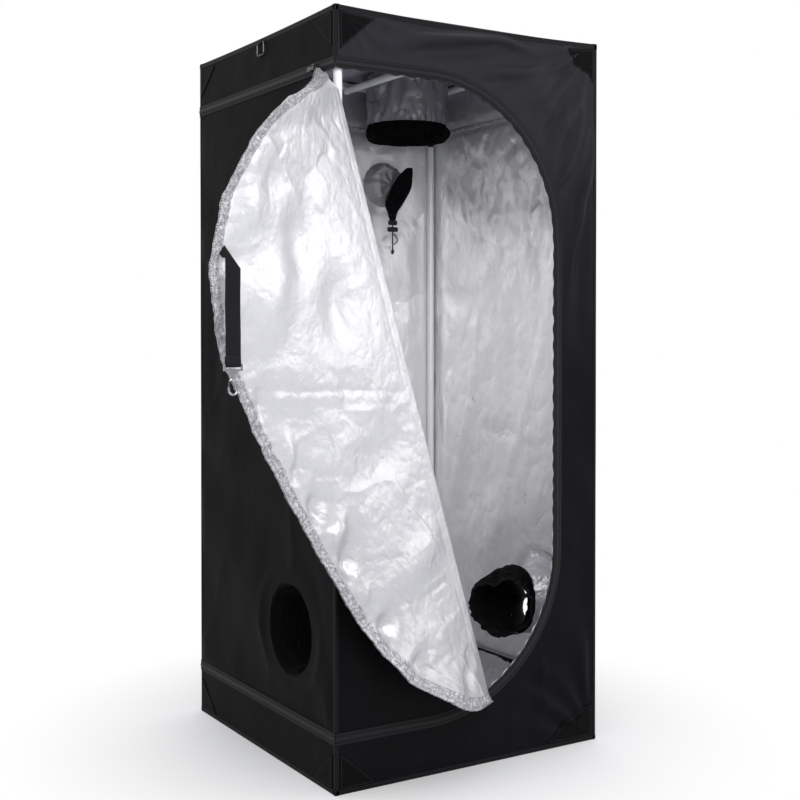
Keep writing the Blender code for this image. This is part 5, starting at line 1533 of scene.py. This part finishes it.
def make_back_sleeve():
    """The back port's sleeve pushed in and folded flat, and its black end drawn shut."""
    x, z, radius = BACK_PORT
    wall = HALF - CLOTH - GAP
    turn = full_turn(160)
    rows = [(0.00, 0.0520), (0.10, 0.0516), (0.25, 0.0503), (0.42, 0.0482), (0.60, 0.0456),
            (0.80, 0.0405), (0.95, 0.0348), (0.985, 0.0320), (0.992, 0.0270), (0.993, 0.0200),
            (0.993, 0.0120), (0.993, 0.0050), (0.993, 0.0006)]
    outer, inner = [], []
    for share, size in rows:
        free = ramp(share, 0.02, 0.25) * ramp(size, 0.004, 0.03)
        pleat = np.sin(turn * 7 + 1.7 * np.sin(turn * 2 + 1)) + 0.5 * np.sin(turn * 15 + 2)
        r = size - free * (0.0013 + 0.0013 * pleat
                           + 0.0042 * facets(turn * 12 / math.tau, share * 4, 1.0, 671))
        flat = ramp(share, 0.97, 0.99) * ramp(size, 0.004, 0.02)
        y = wall - 0.0257 * share + flat * (0.0016 + 0.0014 * np.sin(turn * 7 + 0.6)) + 0.0004
        cx = x + 0.010 * share
        deeper = np.minimum(y + 0.0018 * ramp(share, 0.0, 0.3), wall - 0.0001)
        for rings, r, at in ((outer, r, y), (inner, np.maximum(r - 0.0016, 0.0004), deeper)):
            rings.append(np.column_stack([cx + np.cos(turn) * r, at, z + np.sin(turn) * r]))
    quads = grid_quads(len(outer), len(turn), wrap=True)
    # The sleeve's film is the dark copy, painted shade.
    root = mark(cloth("back_sleeve", quads, np.concatenate(outer), np.concatenate(inner),
                      [FILM_GREY, BLACK_SOFT], "tent", 60), "sleeve_back")
    make_back_end(x, z, wall)


def make_back_end(x, z, wall):
    """The sleeve's black end, drawn to a neck that two turns of cord hold."""
    low, tall, away, around = z - 0.086, 0.1235, wall - 0.048, 96
    table = [(1.00, 1.00, 0.33), (0.84, 0.74, 0.73), (0.59, 0.46, 1.00), (0.31, 0.03, 0.93),
             (0.14, -0.07, 0.52), (0.00, -0.07, 0.31)]
    turn = full_turn(around)
    rings = []
    for height, lean, width in spline(table, 44)[::-1]:
        half = 0.024 * max(width, 0.05)
        if 0.12 < height < 0.86:
            half *= 0.985
        pleat = (0.07 * np.sin(turn * 6 + 2.2 * height * 3) + 0.05 * np.sin(turn * 11 + 5 * height + 1)
                 + 0.06 * facets(turn * 8 / math.tau, height * 9, 1.0, 661))
        size = np.minimum(1.0 - 0.07 + pleat * (0.5 + 0.5 * ramp(width, 0.3, 0.7)), 1.0)
        flat = np.column_stack([x + 0.0435 * lean + half * np.cos(turn) * size,
                                away + min(0.022, half) * np.sin(turn) * size])
        rings.append(np.insert(flat, 2, low + tall * height, 1))

    def shrunk(ring, shares):
        return [ring.mean(0) + (ring - ring.mean(0)) * share for share in shares]

    rings = shrunk(rings[0], (0.02, 0.5)) + rings + shrunk(rings[-1], (0.6, 0.25, 0.02))
    uv = np.stack([np.tile(turn * 0.02, len(rings)), np.repeat(np.arange(len(rings)) * 0.003, around)], 1)
    end = mark(ring_stack("back_sleeve_end", rings, [BLACK_SOFT], "tent", 60, uv),
               "sleeve_back_end")
    turn = full_turn(40)
    for k, (rise, half) in enumerate(((0.010, 0.0086), (0.0125, 0.0092))):
        mark(tube(f"back_sleeve_tie_{k}", np.column_stack([
            x - 0.0030 + half * np.cos(turn), away + half * 0.93 * np.sin(turn),
            low + rise + 0.0006 * np.sin(turn)]), 0.0012, CORD, closed=True))


def make_tie_loop():
    """The cloth loop that holds the tie ring."""
    cx, cz, wire = -0.30425, 1.388, 0.0026
    path = [(-HALF + 0.0004, cz + 0.0046), (-HALF - 0.0012, cz + 0.0042), (-HALF - 0.0030, cz + 0.0030)]
    for turn in np.radians(np.linspace(75, -75, 9)):
        path.append((cx - wire * math.cos(turn), cz + wire * math.sin(turn)))
    path += [(-HALF - 0.0030, cz - 0.0030), (-HALF - 0.0012, cz - 0.0042), (-HALF + 0.0004, cz - 0.0046)]
    place = np.array([(a, -0.008, b) for a, b in path])
    run = unit(np.gradient(place, axis=0))
    profile = [(-0.0070, -0.0005), (0.0070, -0.0005), (0.0070, 0.0005), (-0.0070, 0.0005)]
    mark(ribbon("tie_ring_loop", place, BACK, np.cross(BACK, run), profile, BINDING))


def make_door_edge():
    """The lining's wavy edge where it shows inside the door's zip."""
    count = 420
    points, ways, total = door_path(count)
    turn = np.degrees(np.arctan2(points[:, 2] - ARC_LOW, points[:, 0] - ARC_X))
    keep = (points[:, 2] < ARC_LOW + 0.04) & (turn > -61.5)
    points, ways = points[keep], ways[keep]
    along = np.linspace(0, total, count)[keep]
    wave = (0.0016 * np.sin(along * math.tau / 0.030 + 6 * cloud(along, 0, 0.09, 671))
            + 0.0018 * (cloud(along, 0, 0.016, 673) - 0.5))
    width = 0.0022 + 0.0014 * (cloud(along, 0, 0.15, 675) - 0.5)
    profile = np.zeros((len(points), 6, 2))
    for k, (share, level) in enumerate(((0.0, -0.0004), (0.0, 0.0006), (0.5, 0.0013), (0.9, 0.0007),
                                        (1.0, -0.0002), (0.5, -0.0006))):
        profile[:, k, 0] = -0.0100 - width * share - wave * share
        profile[:, k, 1] = level
    # The edge takes the dark film copy, painted shade.
    mark(ribbon("door_lining_edge", points, ways, NEAR, profile, FILM_GREY))


# Floor, lights and background

def make_stage():
    """A pale floor that fades to white away from the object."""
    verts = [(-14, -14, -0.0005), (14, -14, -0.0005), (14, 14, -0.0005), (-14, 14, -0.0005)]
    n = Nodes("studio_floor")
    n.done(n.blend_colour(n.noise(0.6, 2.0), (0.86, 0.86, 0.86), (0.89, 0.89, 0.89)), 0.75)
    reach = n.add("ShaderNodeVectorMath", operation="LENGTH")
    n.link(n.place, reach.inputs[0])
    fade = n.spread(reach.outputs["Value"], 0.0, 1.0, 0.28, 0.78)
    seen = n.add("ShaderNodeLightPath")
    white = n.add("ShaderNodeEmission")
    mix = n.add("ShaderNodeMixShader")
    n.link(n.math("MULTIPLY", fade, seen.outputs["Is Camera Ray"]), mix.inputs[0])
    n.link(n.shader.outputs[0], mix.inputs[1])
    n.link(white.outputs[0], mix.inputs[2])
    n.link(mix.outputs[0], n.tree.nodes["Material Output"].inputs["Surface"])
    floor = finish_mesh("studio_floor", verts, [(0, 1, 2, 3)], [n.material], None)


def area_light(name, place, target, size, watts):
    data = bpy.data.lights.new(name, "AREA")
    data.shape = "SQUARE"
    data.size = size
    data.energy = watts
    light = bpy.data.objects.new(name, data)
    light.location = place
    light.rotation_euler = (Vector(target) - Vector(place)).to_track_quat("-Z", "Y").to_euler()
    bpy.context.collection.objects.link(light)
    return light


def make_lights():
    area_light("key", (-1.2, -3.0, 2.3), (0.1, 0.0, 0.6), 1.8, 42)
    area_light("fill", (2.7, -2.2, 1.9), (0.0, 0.0, 0.7), 2.2, 24)
    area_light("top", (0.2, 0.6, 3.4), (0.0, 0.0, 0.6), 2.4, 16)
    area_light("rim", (-2.8, 1.2, 2.0), (0.0, 0.0, 0.7), 2.0, 10)
    inside = area_light("inside", (-0.02, -0.22, 0.80), (0.25, 0.25, 0.62), 0.40, 0.60)
    inside.visible_glossy = inside.visible_camera = False


def make_world():
    """White where the camera looks past the object, plain pale grey light elsewhere."""
    world = bpy.data.worlds.new("studio")
    bpy.context.scene.world = world
    world.use_nodes = True
    tree = world.node_tree
    tree.nodes.clear()
    path = tree.nodes.new("ShaderNodeLightPath")
    lit, bare = tree.nodes.new("ShaderNodeBackground"), tree.nodes.new("ShaderNodeBackground")
    bare.inputs["Color"].default_value = (1, 1, 1, 1)
    bare.inputs["Strength"].default_value = 1.0
    lit.inputs["Color"].default_value = (0.95, 0.96, 1.0, 1)
    lit.inputs["Strength"].default_value = 0.78
    mix = tree.nodes.new("ShaderNodeMixShader")
    seen = path.outputs["Is Camera Ray"]
    for ray in ("Is Transmission Ray", "Is Glossy Ray"):
        either = tree.nodes.new("ShaderNodeMath")
        either.operation = "MAXIMUM"
        tree.links.new(seen, either.inputs[0])
        tree.links.new(path.outputs[ray], either.inputs[1])
        seen = either.outputs[0]
    tree.links.new(seen, mix.inputs[0])
    tree.links.new(lit.outputs[0], mix.inputs[1])
    tree.links.new(bare.outputs[0], mix.inputs[2])
    output = tree.nodes.new("ShaderNodeOutputWorld")
    tree.links.new(mix.outputs[0], output.inputs["Surface"])
    bpy.context.scene.view_settings.view_transform = "Standard"


make_cords()
dress_nodes()
make_front()
make_walls()
make_bindings()
make_zips()
make_patches()
make_seams()
make_door_edge()
make_tray()
make_open_door()
make_strap()
make_sleeves()
make_roof_knot()
make_back_sleeve()
make_tie_loop()
make_stage()
make_lights()
make_world()
